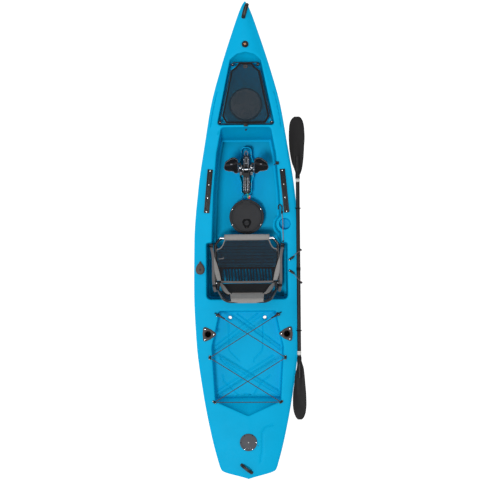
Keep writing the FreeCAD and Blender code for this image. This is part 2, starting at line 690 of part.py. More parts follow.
def make_tether():
    loop = pipe([(-4, 373, 122), (-24, 366, 119), (-34, 340, 117), (-22, 332, 124)], 2.2)
    export(loop, "drive_tether")
    clip = box((6, 336, 117), (20, 358, 127))
    tag = box((14, 332, 128.5), (30, 358, 134))
    export(group(clip, tag, make_leash_hook()), "leash_fittings")


# ---------------------------------------------------------------- seat
def make_seat():
    h, r = SEAT_HALF, SEAT_TUBE
    fore, rear, z0, z1 = 18.0, -388.0, 226.0, 214.0
    base = pipe([(h, rear, z1), (h, -30, z0), (h - 40, fore, z0 + 1), (-h + 40, fore, z0 + 1),
                 (-h, -30, z0), (-h, rear, z1)], r, 44, 2)
    for x in (h, -h):
        for y in (-50, -370):
            base = base.fuse(ring((x, y, 122), Z_AXIS, 9, 7, (98 if y > -200 else 90)))
            base = base.fuse(rod((x, y, COCKPIT_FLOOR + 0.5), Z_AXIS, 17, 11))
        py, pz = SEAT_PIVOT
        lug = box((x - 4, py - 14, z1 + 7), (x + 4, py + 14, pz + 10))
        base = base.fuse(lug.cut(rod((x - 30, py, pz), X_AXIS, 5, 60)))
    base = base.fuse(pipe_straight((-h + 4, -322, 216), (h - 4, -322, 216), 8))
    export(base, "seat_base_frame")
    pan = both_sides([(190, -10), (226, -52), (230, -214)])
    export(prism(pan, 221, 227, 8), "seat_pan_mesh")
    sleeve = box((-176, 0, z0 - 14), (176, 50, z0 + 16))
    sleeve = sleeve.makeFillet(12, [e for e in sleeve.Edges if abs(e.Length - 352) < 0.1])
    sleeve = sleeve.cut(pipe_straight((-300, fore, z0 + 1), (300, fore, z0 + 1), r))
    export(sleeve, "seat_front_sleeve")
    pins = [sided(rod((214, py, pz), X_AXIS, 5, 38), side) for side in (-1, 1)]
    export(group(*pins), "seat_hinge_pins")
    bh = 222.0
    back = pipe([(bh, py, pz), (bh, py - 52, 410), (bh - 42, -452, 520), (bh - 84, -470, 534),
                 (-bh + 84, -470, 534), (-bh + 42, -452, 520), (-bh, py - 52, 410), (-bh, py, pz)],
                r, 60, 2)
    back = back.fuse(ring((bh - 10, py, pz), X_AXIS, 14, 5.05, 20))
    back = back.fuse(ring((-bh - 10, py, pz), X_AXIS, 14, 5.05, 20))
    back = back.cut(rod((-260, py, pz), X_AXIS, 5.05, 520))
    export(back, "seat_back_frame")
    lean = math.degrees(math.atan2(-452 - py, 520 - pz))
    panel = box((-bh + 18, -3, 40), (bh - 18, 3, 236))
    panel.rotate(V(0, 0, 0), X_AXIS, -lean)
    panel.translate(V(0, py - 6, pz))
    export(panel, "seat_back_mesh")
    top = box((-118, -486, 516), (118, -452, 552))
    top = top.makeFillet(12, [e for e in top.Edges if abs(e.Length - 236) < 0.1])
    top = top.cut(pipe_straight((-300, -470, 534), (300, -470, 534), r))
    export(top, "seat_top_sleeve")
    straps = []
    for side in (-1, 1):
        x = side * 262
        straps.append(box((x - 2, -380, 196), (x + 2, -34, 234)))
    export(group(*straps), "seat_side_straps")


# ---------------------------------------------------------------- paddle and side fittings
def make_paddle():
    x, z, r = PADDLE_X, PADDLE_Z, PADDLE_R
    joint = -211.0
    front = ring((x, joint + 0.3, z), Y_AXIS, r, r - 1.5, 640 - joint)
    rear = ring((x, -1060, z), Y_AXIS, r, r - 1.5, joint + 1060)
    rear = rear.fuse(ring((x, joint - 60, z), Y_AXIS, r - 1, r - 3, 60))
    rear = rear.fuse(ring((x, joint - 1, z), Y_AXIS, r - 1.55, r - 3, 51))
    export(front, "paddle_shaft_front")
    export(rear, "paddle_shaft_rear")
    for name, root, tip in (("front", 492, 951), ("rear", -923, -1379)):
        way = 1 if tip > root else -1
        span = abs(tip - root)
        half = [(17, 0), (30, 40), (50, 110), (60, 220), (60, 330), (48, 410), (22, span)]
        outline = [(x + dx, root + way * dy) for dx, dy in half]
        outline += [(x - dx, root + way * dy) for dx, dy in reversed(half)]
        blade = prism(outline, z - 4, z + 4, 26)
        blade = blade.cut(rod((x, min(root, tip) - 200, z), Y_AXIS, r, 900)
                          .common(box((x - 30, root - 170, z - 30), (x + 30, root + 170, z + 30))))
        export(blade, "paddle_blade_" + name)
    export(ring((x, 236, z), Y_AXIS, 24, r, 7), "paddle_drip_ring_front")
    export(ring((x, -703, z), Y_AXIS, 24, r, 7), "paddle_drip_ring_rear")


def make_side_fittings():
    cleats = []
    for y, turn in ((-144, 35), (-246, -35)):
        z = deck_z(341, y) + 1
        cleat = box((-22, -9, 0), (22, 9, 14))
        cleat = cleat.makeFillet(4, cleat.Edges)
        cleat.rotate(V(0, 0, 0), Z_AXIS, turn)
        cleat.translate(V(341, y, z))
        cleats.append(cleat)
    for y in (-79, -331):
        side = station(y)[0]
        cleats.append(box((side + 0.5, y - 9, 282), (side + 13, y + 9, 300)))
    z = deck_z(236, 591)
    cleats.append(box((224, 580, z + 3), (250, 602, z + 9)).fuse(rod((237, 591, z + 8), Z_AXIS, 8, 9)))
    export(group(*cleats), "deck_cleats")


def make_cords():
    top = PADDLE_Z + PADDLE_R + 6
    cleat = deck_z(341, -200) + 12
    front = [(358, -126, cleat), (372, -114, cleat + 24), (386, -102, top), (404, -90, top),
             (419, -82, top - 22), (420, -79, 318), (416, -79, 301)]
    rear = [(358, -264, cleat), (372, -280, cleat + 24), (387, -298, top), (405, -316, top),
            (421, -328, top - 22), (423, -331, 318), (419, -331, 301)]
    export(cord("paddle_keeper_cord_front", front, 2), "paddle_keeper_cord_front")
    export(cord("paddle_keeper_cord_rear", rear, 2), "paddle_keeper_cord_rear")
    z = deck_z(262, 100) + 9
    leash = [(272, 204, z), (277, 160, z + 2), (279, 115, z + 1), (278, 75, z + 2), (280, 35, z + 1),
             (280, -5, z)]
    export(cord("leash_cord", leash, 3), "leash_cord")


def main():
    os.makedirs("parts", exist_ok=True)
    make_shells()
    make_sleeves()
    make_handles()
    make_front_hatch()
    make_centre_hatch()
    make_front_cover()
    make_tracks()
    make_rod_holders()
    make_cargo()
    make_steering()
    make_rudder()
    make_drive()
    make_tether()
    make_seat()
    make_paddle()
    make_side_fittings()
    make_cords()
    export(group(*screws), "deck_screws")


main()
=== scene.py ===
import math

import bmesh
import bpy
import numpy as np
from mathutils import Matrix, Vector
from mathutils.geometry import delaunay_2d_cdt


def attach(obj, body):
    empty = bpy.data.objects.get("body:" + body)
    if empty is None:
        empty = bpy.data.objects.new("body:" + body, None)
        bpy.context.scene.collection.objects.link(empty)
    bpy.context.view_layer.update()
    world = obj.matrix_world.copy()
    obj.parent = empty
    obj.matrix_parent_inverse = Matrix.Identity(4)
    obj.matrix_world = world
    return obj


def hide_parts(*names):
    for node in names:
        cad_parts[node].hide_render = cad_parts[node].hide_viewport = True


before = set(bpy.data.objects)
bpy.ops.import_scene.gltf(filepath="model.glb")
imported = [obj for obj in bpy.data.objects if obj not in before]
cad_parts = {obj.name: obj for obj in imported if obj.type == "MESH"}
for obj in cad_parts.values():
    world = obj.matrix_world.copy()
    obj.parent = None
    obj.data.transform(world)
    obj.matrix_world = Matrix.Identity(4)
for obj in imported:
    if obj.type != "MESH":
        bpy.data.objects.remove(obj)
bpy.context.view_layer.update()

# Everything below is worked out in millimetres in the row frame and scaled to metres when a piece is made.
MM = 0.001


# ---------------------------------------------------------------- camera, light and floor
VIEW_HEIGHT = 9.3          # camera height above the keel
FRAME_WIDTH = 3.852        # width seen at deck height
DECK_HEIGHT = 0.32
AIM = (0.022, -0.077)
LEAN = -0.48               # degrees the boat leans in the frame
TILT = 1.5                 # degrees the camera leans back towards the stern

camera_data = bpy.data.cameras.new("camera")
camera_data.sensor_width = 36
camera_data.lens = 36 * (VIEW_HEIGHT - DECK_HEIGHT) / FRAME_WIDTH
camera_data.clip_end = 60
camera = bpy.data.objects.new("camera", camera_data)
camera.location = (AIM[0], AIM[1] - (VIEW_HEIGHT - DECK_HEIGHT) * math.tan(math.radians(TILT)), VIEW_HEIGHT)
camera.rotation_euler = (math.radians(TILT), 0, math.radians(LEAN))
bpy.context.scene.collection.objects.link(camera)
bpy.context.scene.camera = camera


def light(name, kind, place, towards, energy, size, colour=(1, 1, 1)):
    data = bpy.data.lights.new(name, kind)
    data.energy = energy
    data.color = colour
    if kind == "SUN":
        data.angle = size
    else:
        data.shape = "DISK"
        data.size = size
    lamp = bpy.data.objects.new(name, data)
    lamp.location = place
    lamp.rotation_euler = (Vector(towards) - Vector(place)).to_track_quat("-Z", "Y").to_euler()
    bpy.context.scene.collection.objects.link(lamp)


WORLD_LIGHT, FLOOR_LIGHT = 0.48, 1.1
FLOOR_Z, FLOOR_HALF = -0.46, 150.0       # a white floor under the fins that reaches past every view

light("key_sun", "SUN", (-1.6, -2.4, 9.0), (0, 0, 0), 1.6, math.radians(11))
light("fill_left", "AREA", (-4.5, 1.0, 3.5), (0, 0, 0.2), 40, 3.0)
light("fill_right", "AREA", (4.5, -1.5, 3.0), (0, 0, 0.2), 8, 3.0)

world = bpy.data.worlds.new("studio")
world.use_nodes = True
world.node_tree.nodes["Background"].inputs[0].default_value = (1, 1, 1, 1)
world.node_tree.nodes["Background"].inputs[1].default_value = WORLD_LIGHT
bpy.context.scene.world = world
bpy.context.scene.view_settings.view_transform = "Standard"


# ---------------------------------------------------------------- materials
def srgb(r, g, b):
    """A linear colour from 0-255 display values."""
    def one(c):
        c /= 255
        return c / 12.92 if c <= 0.04045 else ((c + 0.055) / 1.055) ** 2.4
    return (one(r), one(g), one(b), 1)


def shade(colour, by):
    return tuple(min(1, c * by) for c in colour[:3]) + (1,)


class Nodes:
    """A material's node tree with short ways to add what every finish here needs."""

    def __init__(self, name, rough=0.4, metallic=0.0, specular=0.5):
        self.mat = bpy.data.materials.new(name)
        self.mat.use_nodes = True
        self.tree = self.mat.node_tree
        self.bsdf = self.tree.nodes["Principled BSDF"]
        self.bsdf.inputs["Roughness"].default_value = rough
        self.bsdf.inputs["Metallic"].default_value = metallic
        self.bsdf.inputs["Specular IOR Level"].default_value = specular
        self.coords = self.tree.nodes.new("ShaderNodeTexCoord").outputs["Object"]

    def node(self, kind, **values):
        n = self.tree.nodes.new(kind)
        for key, value in values.items():
            setattr(n, key, value)
        return n

    def link(self, a, b):
        self.tree.links.new(a, b)

    def mapped(self, scale=(1, 1, 1), turn=(0, 0, 0)):
        m = self.node("ShaderNodeMapping")
        m.inputs["Scale"].default_value = scale
        m.inputs["Rotation"].default_value = turn
        self.link(self.coords, m.inputs["Vector"])
        return m.outputs["Vector"]

    def noise(self, scale, detail=2.0, rough=0.5, vector=None):
        n = self.node("ShaderNodeTexNoise")
        n.inputs["Scale"].default_value = scale
        n.inputs["Detail"].default_value = detail
        n.inputs["Roughness"].default_value = rough
        self.link(vector or self.coords, n.inputs["Vector"])
        return n.outputs["Fac"]

    def wave(self, scale, vector, direction="X", shape="SIN"):
        n = self.node("ShaderNodeTexWave", bands_direction=direction, wave_profile=shape)
        n.inputs["Scale"].default_value = scale
        n.inputs["Distortion"].default_value = 0
        self.link(vector, n.inputs["Vector"])
        return n.outputs["Fac"]

    def ramp(self, factor, stops):
        r = self.node("ShaderNodeValToRGB")
        first, last = r.color_ramp.elements
        first.position, first.color = stops[0]
        last.position, last.color = stops[-1]
        for position, colour in stops[1:-1]:
            r.color_ramp.elements.new(position).color = colour
        self.link(factor, r.inputs["Fac"])
        return r.outputs["Color"]

    def maths(self, what, a, b):
        n = self.node("ShaderNodeMath", operation=what)
        for socket, value in zip(n.inputs, (a, b)):
            if isinstance(value, (int, float)):
                socket.default_value = value
            else:
                self.link(value, socket)
        return n.outputs[0]

    def mix(self, factor, a, b, blend="MIX"):
        n = self.node("ShaderNodeMix", data_type="RGBA", blend_type=blend)
        for socket, value in ((n.inputs["Factor"], factor), (n.inputs["A"], a), (n.inputs["B"], b)):
            if isinstance(value, (tuple, int, float)):
                socket.default_value = value
            else:
                self.link(value, socket)
        return n.outputs["Result"]

    def spread(self, factor, low, high):
        n = self.node("ShaderNodeMapRange")
        n.inputs["To Min"].default_value = low
        n.inputs["To Max"].default_value = high
        self.link(factor, n.inputs["Value"])
        return n.outputs[0]

    def bump(self, height, strength, distance, after=None):
        n = self.node("ShaderNodeBump")
        n.inputs["Strength"].default_value = strength
        n.inputs["Distance"].default_value = distance
        self.link(height, n.inputs["Height"])
        if after:
            self.link(after, n.inputs["Normal"])
        return n.outputs["Normal"]

    def finish(self, colour=None, rough=None, normal=None, alpha=None):
        for name, value in (("Base Color", colour), ("Roughness", rough), ("Normal", normal), ("Alpha", alpha)):
            if value is not None:
                self.link(value, self.bsdf.inputs[name])
        return self.mat


def moulded(name, colour, rough=0.4, mottle=0.07, grain=0.00015, worn=0.12, specular=0.5, grain_scale=900):
    """Moulded plastic: uneven pigment, a fine grain, a rougher bloom and scuffs along raised edges."""
    n = Nodes(name, rough, specular=specular)
    cloud = n.noise(7, 4, 0.55)
    base = n.ramp(cloud, [(0.3, shade(colour, 1 - mottle)), (0.7, shade(colour, 1 + mottle))])
    specks = n.noise(260, 3, 0.6)
    base = n.mix(n.ramp(specks, [(0.55, (0, 0, 0, 1)), (0.8, (0.35, 0.35, 0.35, 1))]), base,
                 shade(colour, 1 + 2.2 * mottle))
    edges = n.node("ShaderNodeNewGeometry").outputs["Pointiness"]
    rim = n.ramp(edges, [(0.52, (0, 0, 0, 1)), (0.6, (worn, worn, worn, 1))])
    base = n.mix(rim, base, shade(colour, 1.7))
    grain_bump = n.bump(n.noise(grain_scale, 3, 0.6), 0.5, grain)
    return n.finish(base, n.spread(n.noise(40, 3), rough - 0.06, rough + 0.1), grain_bump)


def metal(name, colour, rough=0.3, brushed=(1, 1, 1)):
    n = Nodes(name, rough, metallic=1.0)
    streaks = n.noise(220, 4, 0.7, n.mapped(brushed))
    base = n.ramp(streaks, [(0.25, shade(colour, 0.82)), (0.75, shade(colour, 1.1))])
    return n.finish(base, n.spread(n.noise(90, 3), rough - 0.08, rough + 0.14), n.bump(streaks, 0.3, 0.0001))


def coated(name, colour, rough=0.34):
    """Powder-coated tube: slight orange peel over a satin coat."""
    n = Nodes(name, rough)
    peel = n.noise(420, 2, 0.5)
    base = n.ramp(n.noise(30, 3), [(0.3, shade(colour, 0.85)), (0.7, shade(colour, 1.15))])
    return n.finish(base, n.spread(n.noise(60, 2), rough - 0.05, rough + 0.08), n.bump(peel, 0.35, 0.0002))


def woven(name, colour, pitch=1.2, rough=0.85, heather=0.25, turn=0.0, open_share=None, depth=0.0004, second=None):
    """Cloth: warp over weft at a real thread pitch in millimetres, heathered threads, and holes if it is a mesh."""
    n = Nodes(name, rough, specular=0.25)
    n.bsdf.inputs["Sheen Weight"].default_value = 0.08
    n.bsdf.inputs["Sheen Roughness"].default_value = 0.5
    v = n.mapped(turn=(0, 0, turn))
    per_metre = 1000 / pitch / 6.2832 * 3.14159
    warp, weft = n.wave(per_metre, v, "X"), n.wave(per_metre, v, "Y")
    threads = n.maths("MAXIMUM", warp, weft)
    tone = n.ramp(n.noise(60, 5, 0.7), [(0.3, shade(colour, 1 - heather)),
                                        (0.7, shade(second or colour, 1 + heather))])
    # painted shade: the valleys between threads are darkened towards a third of the cloth's colour
    base = n.mix(n.ramp(threads, [(0.3, (0.55, 0.55, 0.55, 1)), (0.8, (0, 0, 0, 1))]), tone, shade(colour, 0.35))
    streak = n.noise(900, 2, 0.6, n.mapped((1, 0.08, 1)))
    base = n.mix(n.ramp(streak, [(0.4, (0, 0, 0, 1)), (0.75, (0.3, 0.3, 0.3, 1))]), base, shade(colour, 1.5))
    normal = n.bump(threads, 0.7, depth)
    alpha = None
    if open_share:
        alpha = n.ramp(threads, [(open_share, (0, 0, 0, 1)), (open_share + 0.06, (1, 1, 1, 1))])
    return n.finish(base, n.spread(n.noise(120, 2), rough - 0.08, min(1, rough + 0.08)), normal, alpha)


def braided(name, colour, fleck=None, pitch=2.2):
    """Braided cord: crossing strands with tracer flecks."""
    n = Nodes(name, 0.78, specular=0.3)
    one = n.wave(1000 / pitch / 2, n.mapped((1, 0.6, 1), (0.3, 0.2, 0.6)), "DIAGONAL")
    two = n.wave(1000 / pitch / 2, n.mapped((1, 0.6, 1), (0.1, 0.5, -0.7)), "DIAGONAL")
    strands = n.maths("MAXIMUM", one, two)
    # painted shade in the grooves between strands and a slight painted highlight on their crowns
    base = n.ramp(strands, [(0.3, shade(colour, 0.5)), (0.8, shade(colour, 1.15))])
    if fleck:
        base = n.mix(n.ramp(n.noise(240, 2), [(0.58, (0, 0, 0, 1)), (0.62, (0.9, 0.9, 0.9, 1))]), base, fleck)
    return n.finish(base, n.spread(n.noise(300, 2), 0.7, 0.88), n.bump(strands, 0.6, 0.0004))


HULL_BLUE = srgb(0, 168, 216)
hull_mat = moulded("hull_polyethylene", HULL_BLUE, 0.5, 0.03, 0.00012, 0.06, 0.06, 700)
black_mat = moulded("black_nylon", srgb(22, 22, 24), 0.42, 0.16, 0.0002, 0.16, 0.3)
hatch_mat = moulded("hatch_plastic", srgb(48, 48, 50), 0.6, 0.08, 0.00035, 0.10, 0.22, 520)
holder_mat = moulded("holder_plastic", srgb(70, 62, 60), 0.5, 0.10, 0.0003, 0.14, 0.3)
drive_mat = moulded("drive_nylon", srgb(18, 19, 22), 0.36, 0.20, 0.0002, 0.30, 0.35)
drive_grey_mat = moulded("drive_grey", srgb(128, 130, 136), 0.4, 0.12, 0.0002, 0.2, 0.4)
steel_mat = metal("stainless", srgb(205, 207, 210), 0.25)
cap_mat = moulded("cap_plastic", srgb(76, 78, 84), 0.55, 0.08, 0.0003, 0.10, 0.22, 520)
rubber_mat = moulded("seal_rubber", srgb(18, 18, 19), 0.75, 0.12, 0.0003, 0.05, 0.15, 600)
# bright metal used only for the painted highlight bands on the seat tube's front corners
glint_alloy_mat = metal("glint_alloy", srgb(214, 214, 220), 0.3)
tube_mat = coated("coated_tube", srgb(26, 28, 32), 0.22)
sleeve_mat = woven("sleeve_fabric", srgb(148, 146, 144), 1.1, 0.88, 0.06)
strap_mat = woven("webbing", srgb(112, 108, 108), 1.6, 0.8, 0.10)
dark_strap_mat = woven("dark_webbing", srgb(34, 34, 38), 1.6, 0.8, 0.15)
hem_mat = woven("black_hem", srgb(22, 23, 27), 1.3, 0.85, 0.15)
grey_edge_mat = woven("grey_binding", srgb(140, 134, 131), 1.2, 0.85, 0.08)
paddle_mat = moulded("paddle_nylon", srgb(24, 23, 24), 0.5, 0.10, 0.0003, 0.06, 0.16)
shaft_mat = moulded("paddle_shaft", srgb(20, 18, 20), 0.32, 0.10, 0.0001, 0.05, 0.3)
white_mat = moulded("white_band", srgb(205, 205, 202), 0.45, 0.03, 0.0001, 0.02, 0.2)
cord_mat = braided("black_cord", srgb(30, 29, 31), srgb(70, 69, 68))
leash_mat = braided("leash_cord", srgb(130, 112, 116), srgb(76, 72, 78))
bungee_mat = braided("cargo_cord", srgb(62, 60, 58), srgb(110, 108, 102))
tan_mat = moulded("tan_core", srgb(196, 140, 100), 0.5, 0.08)
red_mat = woven("red_tag", srgb(214, 52, 48), 1.0, 0.8, 0.08)
green_mat = moulded("green_fitting", srgb(40, 150, 90), 0.4, 0.08)


# ---------------------------------------------------------------- mesh tools
class Build:
    """Collects closed shapes, each with its own material, and makes one piece of them."""

    def __init__(self):
        self.verts, self.faces, self.slots, self.mats = [], [], [], []

    def add(self, shape, mat, at=None):
        verts, faces = shape
        if mat not in self.mats:
            self.mats.append(mat)
        base = len(self.verts)
        if at is not None:
            verts = [at @ Vector(v) for v in verts]
        self.verts += [tuple(v) for v in verts]
        self.faces += [[base + i for i in f] for f in faces]
        self.slots += [self.mats.index(mat)] * len(faces)
        return self

    def make(self, name, body, slot, replaces=(), angle=38, outward=True, merge=0.0):
        mesh = bpy.data.meshes.new(name)
        mesh.from_pydata([(x * MM, y * MM, z * MM) for x, y, z in self.verts], [], self.faces)
        for mat in self.mats:
            mesh.materials.append(mat)
        mesh.polygons.foreach_set("material_index", self.slots)
        bm = bmesh.new()
        bm.from_mesh(mesh)
        if merge:
            bmesh.ops.remove_doubles(bm, verts=bm.verts, dist=merge * MM)
        bmesh.ops.dissolve_degenerate(bm, edges=bm.edges, dist=1e-6)
        if outward:
            bmesh.ops.recalc_face_normals(bm, faces=bm.faces)
        bm.to_mesh(mesh)
        bm.free()
        mesh.shade_smooth()
        mesh.set_sharp_from_angle(angle=math.radians(angle))
        piece = bpy.data.objects.new(name, mesh)
        bpy.context.scene.collection.objects.link(piece)
        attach(piece, body)
        if replaces:
            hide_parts(*replaces)
        return piece


def turned(axis, degrees, at=(0, 0, 0)):
    return Matrix.Translation(Vector(at)) @ Matrix.Rotation(math.radians(degrees), 4, axis)


def moved(x, y, z):
    return Matrix.Translation((x, y, z))


def mirror_x():
    return Matrix.Scale(-1, 4, Vector((1, 0, 0)))


def stack(loops, closed_ring=True, caps=True, closed_stack=False):
    """Faces between equal loops of points, with ends capped."""
    n = len(loops[0])
    verts = [p for loop in loops for p in loop]
    faces = []
    rows = len(loops) if closed_stack else len(loops) - 1
    for i in range(rows):
        a, b = i * n, ((i + 1) % len(loops)) * n
        for j in range(n if closed_ring else n - 1):
            k = (j + 1) % n
            faces.append([a + j, a + k, b + k, b + j])
    if caps and not closed_stack:
        faces.append(list(range(n))[::-1])
        faces.append(list(range((len(loops) - 1) * n, len(loops) * n)))
    return verts, faces


def lathe(profile, sides=48, closed=False):
    """A turned shape about Z from (radius, height) points."""
    loops = []
    for r, z in profile:
        r = max(r, 0.02)
        loops.append([(r * math.cos(2 * math.pi * k / sides), r * math.sin(2 * math.pi * k / sides), z)
                      for k in range(sides)])
    return stack(loops, closed_stack=closed)


def rounded(points, radius, steps=5):
    """An outline with its corners rounded."""
    out = []
    n = len(points)
    for i in range(n):
        p0, p1, p2 = (np.array(points[(i + k - 1) % n], float) for k in range(3))
        r = radius[i] if isinstance(radius, (list, tuple)) else radius
        a, b = p0 - p1, p2 - p1
        la, lb = np.linalg.norm(a), np.linalg.norm(b)
        a, b = a / la, b / lb
        half = 0.5 * math.acos(max(-1, min(1, float(a @ b))))
        reach = min(r / max(math.tan(half), 1e-3), 0.45 * la, 0.45 * lb)
        if reach < 0.3 or half > 1.54:
            out.append(tuple(p1))
            continue
        for k in range(steps + 1):
            t = k / steps
            q = (1 - t) ** 2 * (p1 + a * reach) + 2 * t * (1 - t) * p1 + t ** 2 * (p1 + b * reach)
            out.append(tuple(q))
    return out


def oval(half_x, half_y, sides=40, power=2.0, centre=(0, 0)):
    """A circle, ellipse or squarer oval."""
    out = []
    for k in range(sides):
        t = 2 * math.pi * k / sides
        c, s = math.cos(t), math.sin(t)
        out.append((centre[0] + half_x * math.copysign(abs(c) ** (2 / power), c),
                    centre[1] + half_y * math.copysign(abs(s) ** (2 / power), s)))
    return out


def offset(loop, by):
    """The closed plan loop moved along its outward normals. The loop runs anticlockwise."""
    p = np.array([q[:2] for q in loop], float)
    e1, e2 = p - np.roll(p, 1, 0), np.roll(p, -1, 0) - p
    for e in (e1, e2):
        e /= np.maximum(np.linalg.norm(e, axis=1), 1e-9)[:, None]
    n1, n2 = np.stack([e1[:, 1], -e1[:, 0]], 1), np.stack([e2[:, 1], -e2[:, 0]], 1)
    n = n1 + n2
    length = np.maximum(np.linalg.norm(n, axis=1), 1e-6)
    n /= length[:, None]
    by = np.asarray(by, float).reshape(-1, 1) if np.ndim(by) else by
    return p + n * by / np.maximum(length / 2, 0.6)[:, None]


def anticlockwise(loop):
    p = np.array([q[:2] for q in loop], float)
    q = np.roll(p, -1, 0)
    area = float(np.sum(p[:, 0] * q[:, 1] - q[:, 0] * p[:, 1]))
    return list(loop) if area > 0 else list(loop)[::-1]


def slab(outline, low, high, bevel=1.5, steps=3):
    """An outline given thickness, with its top and bottom edges rounded."""
    outline = anticlockwise(outline)
    bevel = min(bevel, (high - low) / 2.01)
    turns = [math.pi / 2 * k / steps for k in range(steps + 1)]
    rounds = [(bevel * (1 - math.cos(t)), offset(outline, -bevel * (1 - math.sin(t)))) for t in turns]
    bottom = [[(x, y, low + rise) for x, y in ring] for rise, ring in rounds]
    top = [[(x, y, high - rise) for x, y in ring] for rise, ring in rounds][::-1]
    return stack(bottom + top)


def prism(outline, low, high):
    """An outline run straight from one height to another."""
    return stack([[(x, y, z) for x, y in outline] for z in (low, high)])


def block(low, high, bevel=1.5, corner=None):
    """A box between two corners with rounded edges."""
    (x0, y0, z0), (x1, y1, z1) = low, high
    corner = bevel if corner is None else corner
    return slab(rounded([(x0, y0), (x1, y0), (x1, y1), (x0, y1)], corner, 3), z0, z1, bevel, 2)


def smooth_line(points, per_run=8):
    """Centripetal curve through the points."""
    p = [np.array(q, float) for q in points]
    p = [2 * p[0] - p[1]] + p + [2 * p[-1] - p[-2]]
    out = []
    for i in range(1, len(p) - 2):
        a, b, c, d = p[i - 1:i + 3]
        t0 = 0.0
        t1 = t0 + max(np.linalg.norm(b - a), 1e-6) ** 0.5
        t2 = t1 + max(np.linalg.norm(c - b), 1e-6) ** 0.5
        t3 = t2 + max(np.linalg.norm(d - c), 1e-6) ** 0.5
        for k in range(per_run):
            t = t1 + (t2 - t1) * k / per_run
            a1 = (t1 - t) / (t1 - t0) * a + (t - t0) / (t1 - t0) * b
            a2 = (t2 - t) / (t2 - t1) * b + (t - t1) / (t2 - t1) * c
            a3 = (t3 - t) / (t3 - t2) * c + (t - t2) / (t3 - t2) * d
            b1 = (t2 - t) / (t2 - t0) * a1 + (t - t0) / (t2 - t0) * a2
            b2 = (t3 - t) / (t3 - t1) * a2 + (t - t1) / (t3 - t1) * a3
            out.append((t2 - t) / (t2 - t1) * b1 + (t - t1) / (t2 - t1) * b2)
    out.append(p[-2])
    return out


def tape(half_width, half_height):
    """The section of a tape or a flat bar, for sweep."""
    return [(-half_width, -half_height), (half_width, -half_height), (half_width, half_height),
            (-half_width, half_height)]


def sweep(points, section, closed=False, up=(0, 0, 1)):
    """A tube along points. section is a radius, or a list of (side, up) offsets."""
    p = [np.array(q, float) for q in points]
    n = len(p)
    if isinstance(section, (int, float)):
        section = [(section * math.cos(2 * math.pi * k / 14), section * math.sin(2 * math.pi * k / 14))
                   for k in range(14)]
    loops = []
    up = np.array(up, float)
    side = None
    for i in range(n):
        if closed:
            d = p[(i + 1) % n] - p[i - 1]
        else:
            d = p[min(i + 1, n - 1)] - p[max(i - 1, 0)]
        d /= np.linalg.norm(d)
        if side is None:
            ref = up if abs(d @ up) < 0.9 else np.array((1.0, 0, 0))
            side = np.cross(d, ref)
        else:
            side = side - (side @ d) * d
        side /= np.linalg.norm(side)
        high = np.cross(side, d)
        loops.append([tuple(p[i] + side * a + high * b) for a, b in section])
    return stack(loops, caps=not closed, closed_stack=closed)


def nurbs(name, points, radius, mat, body):
    """A soft cord: one open NURBS spline through the route's control points."""
    data = bpy.data.curves.new(name, "CURVE")
    data.dimensions = "3D"
    data.bevel_depth = radius * MM
    data.bevel_resolution = 3
    data.resolution_u = 8
    data.use_fill_caps = True
    spline = data.splines.new("NURBS")
    spline.points.add(len(points) - 1)
    for target, (x, y, z) in zip(spline.points, points):
        target.co = (x * MM, y * MM, z * MM, 1)
    spline.order_u = 3
    spline.use_endpoint_u = True
    data.materials.append(mat)
    piece = bpy.data.objects.new(name, data)
    bpy.context.scene.collection.objects.link(piece)
    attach(piece, body)
    return piece


# ---------------------------------------------------------------- the hull's form
# Sections from stern to bow: y, half-breadth, keel height, sheer height, crown of the deck
STATIONS = [
    (1830, 10, 300, 395, 3), (1784, 33, 215, 393, 8), (1600, 100, 95, 383, 24), (1323, 190, 30, 364, 34),
    (1046, 266, 8, 346, 24), (769, 314, 0, 331, 14), (400, 371, 0, 315, 8), (0, 405, 0, 305, 6),
    (-400, 410, 0, 300, 6), (-800, 393, 0, 302, 8), (-1169, 346, 8, 308, 12), (-1446, 295, 30, 314, 20),
    (-1700, 232, 66, 320, 14), (-1766, 208, 80, 322, 10), (-1830, 8, 110, 324, 2)][::-1]
BOW, STERN = 1830.0, -1830.0
MOULDING_WALL = 4.0
SCUPPER_BORE, RUDDER_BORE = 17, 15
COCKPIT_FLOOR, FRONT_FLOOR, REAR_FLOOR = 112.0, 255.0, 205.0


def monotone(xs, ys):
    """A smooth curve through the points that never overshoots them."""
    xs, ys = np.array(xs, float), np.array(ys, float)
    h, d = np.diff(xs), np.diff(ys) / np.diff(xs)
    m = np.zeros(len(xs))
    m[0], m[-1] = d[0], d[-1]
    for i in range(1, len(xs) - 1):
        if d[i - 1] * d[i] > 0:
            w1, w2 = 2 * h[i] + h[i - 1], h[i] + 2 * h[i - 1]
            m[i] = (w1 + w2) / (w1 / d[i - 1] + w2 / d[i])

    def at(x):
        x = np.clip(np.asarray(x, float), xs[0], xs[-1])
        i = np.clip(np.searchsorted(xs, x) - 1, 0, len(h) - 1)
        t = (x - xs[i]) / h[i]
        return ((2 * t ** 3 - 3 * t ** 2 + 1) * ys[i] + (t ** 3 - 2 * t ** 2 + t) * h[i] * m[i]
                + (-2 * t ** 3 + 3 * t ** 2) * ys[i + 1] + (t ** 3 - t ** 2) * h[i] * m[i + 1])
    return at


station_y = [s[0] for s in STATIONS]
breadth_at, keel_at, sheer_at, crown_at = (monotone(station_y, [s[k] for s in STATIONS]) for k in (1, 2, 3, 4))
NOSE, TAIL = 20.0, 5.0


def half_at(y):
    """Half-breadth, drawn in to nothing round the tips of bow and stern."""
    y = np.asarray(y, float)
    bow = np.clip((y - (BOW - NOSE)) / NOSE, 0, 1)
    stern = np.clip((STERN + TAIL - y) / TAIL, 0, 1)
    return breadth_at(y) * np.sqrt(np.maximum(1 - bow ** 2, 0)) * np.sqrt(np.maximum(1 - stern ** 2, 0))


def rim_at(y):
    return np.minimum(22.0, 0.3 * half_at(y))


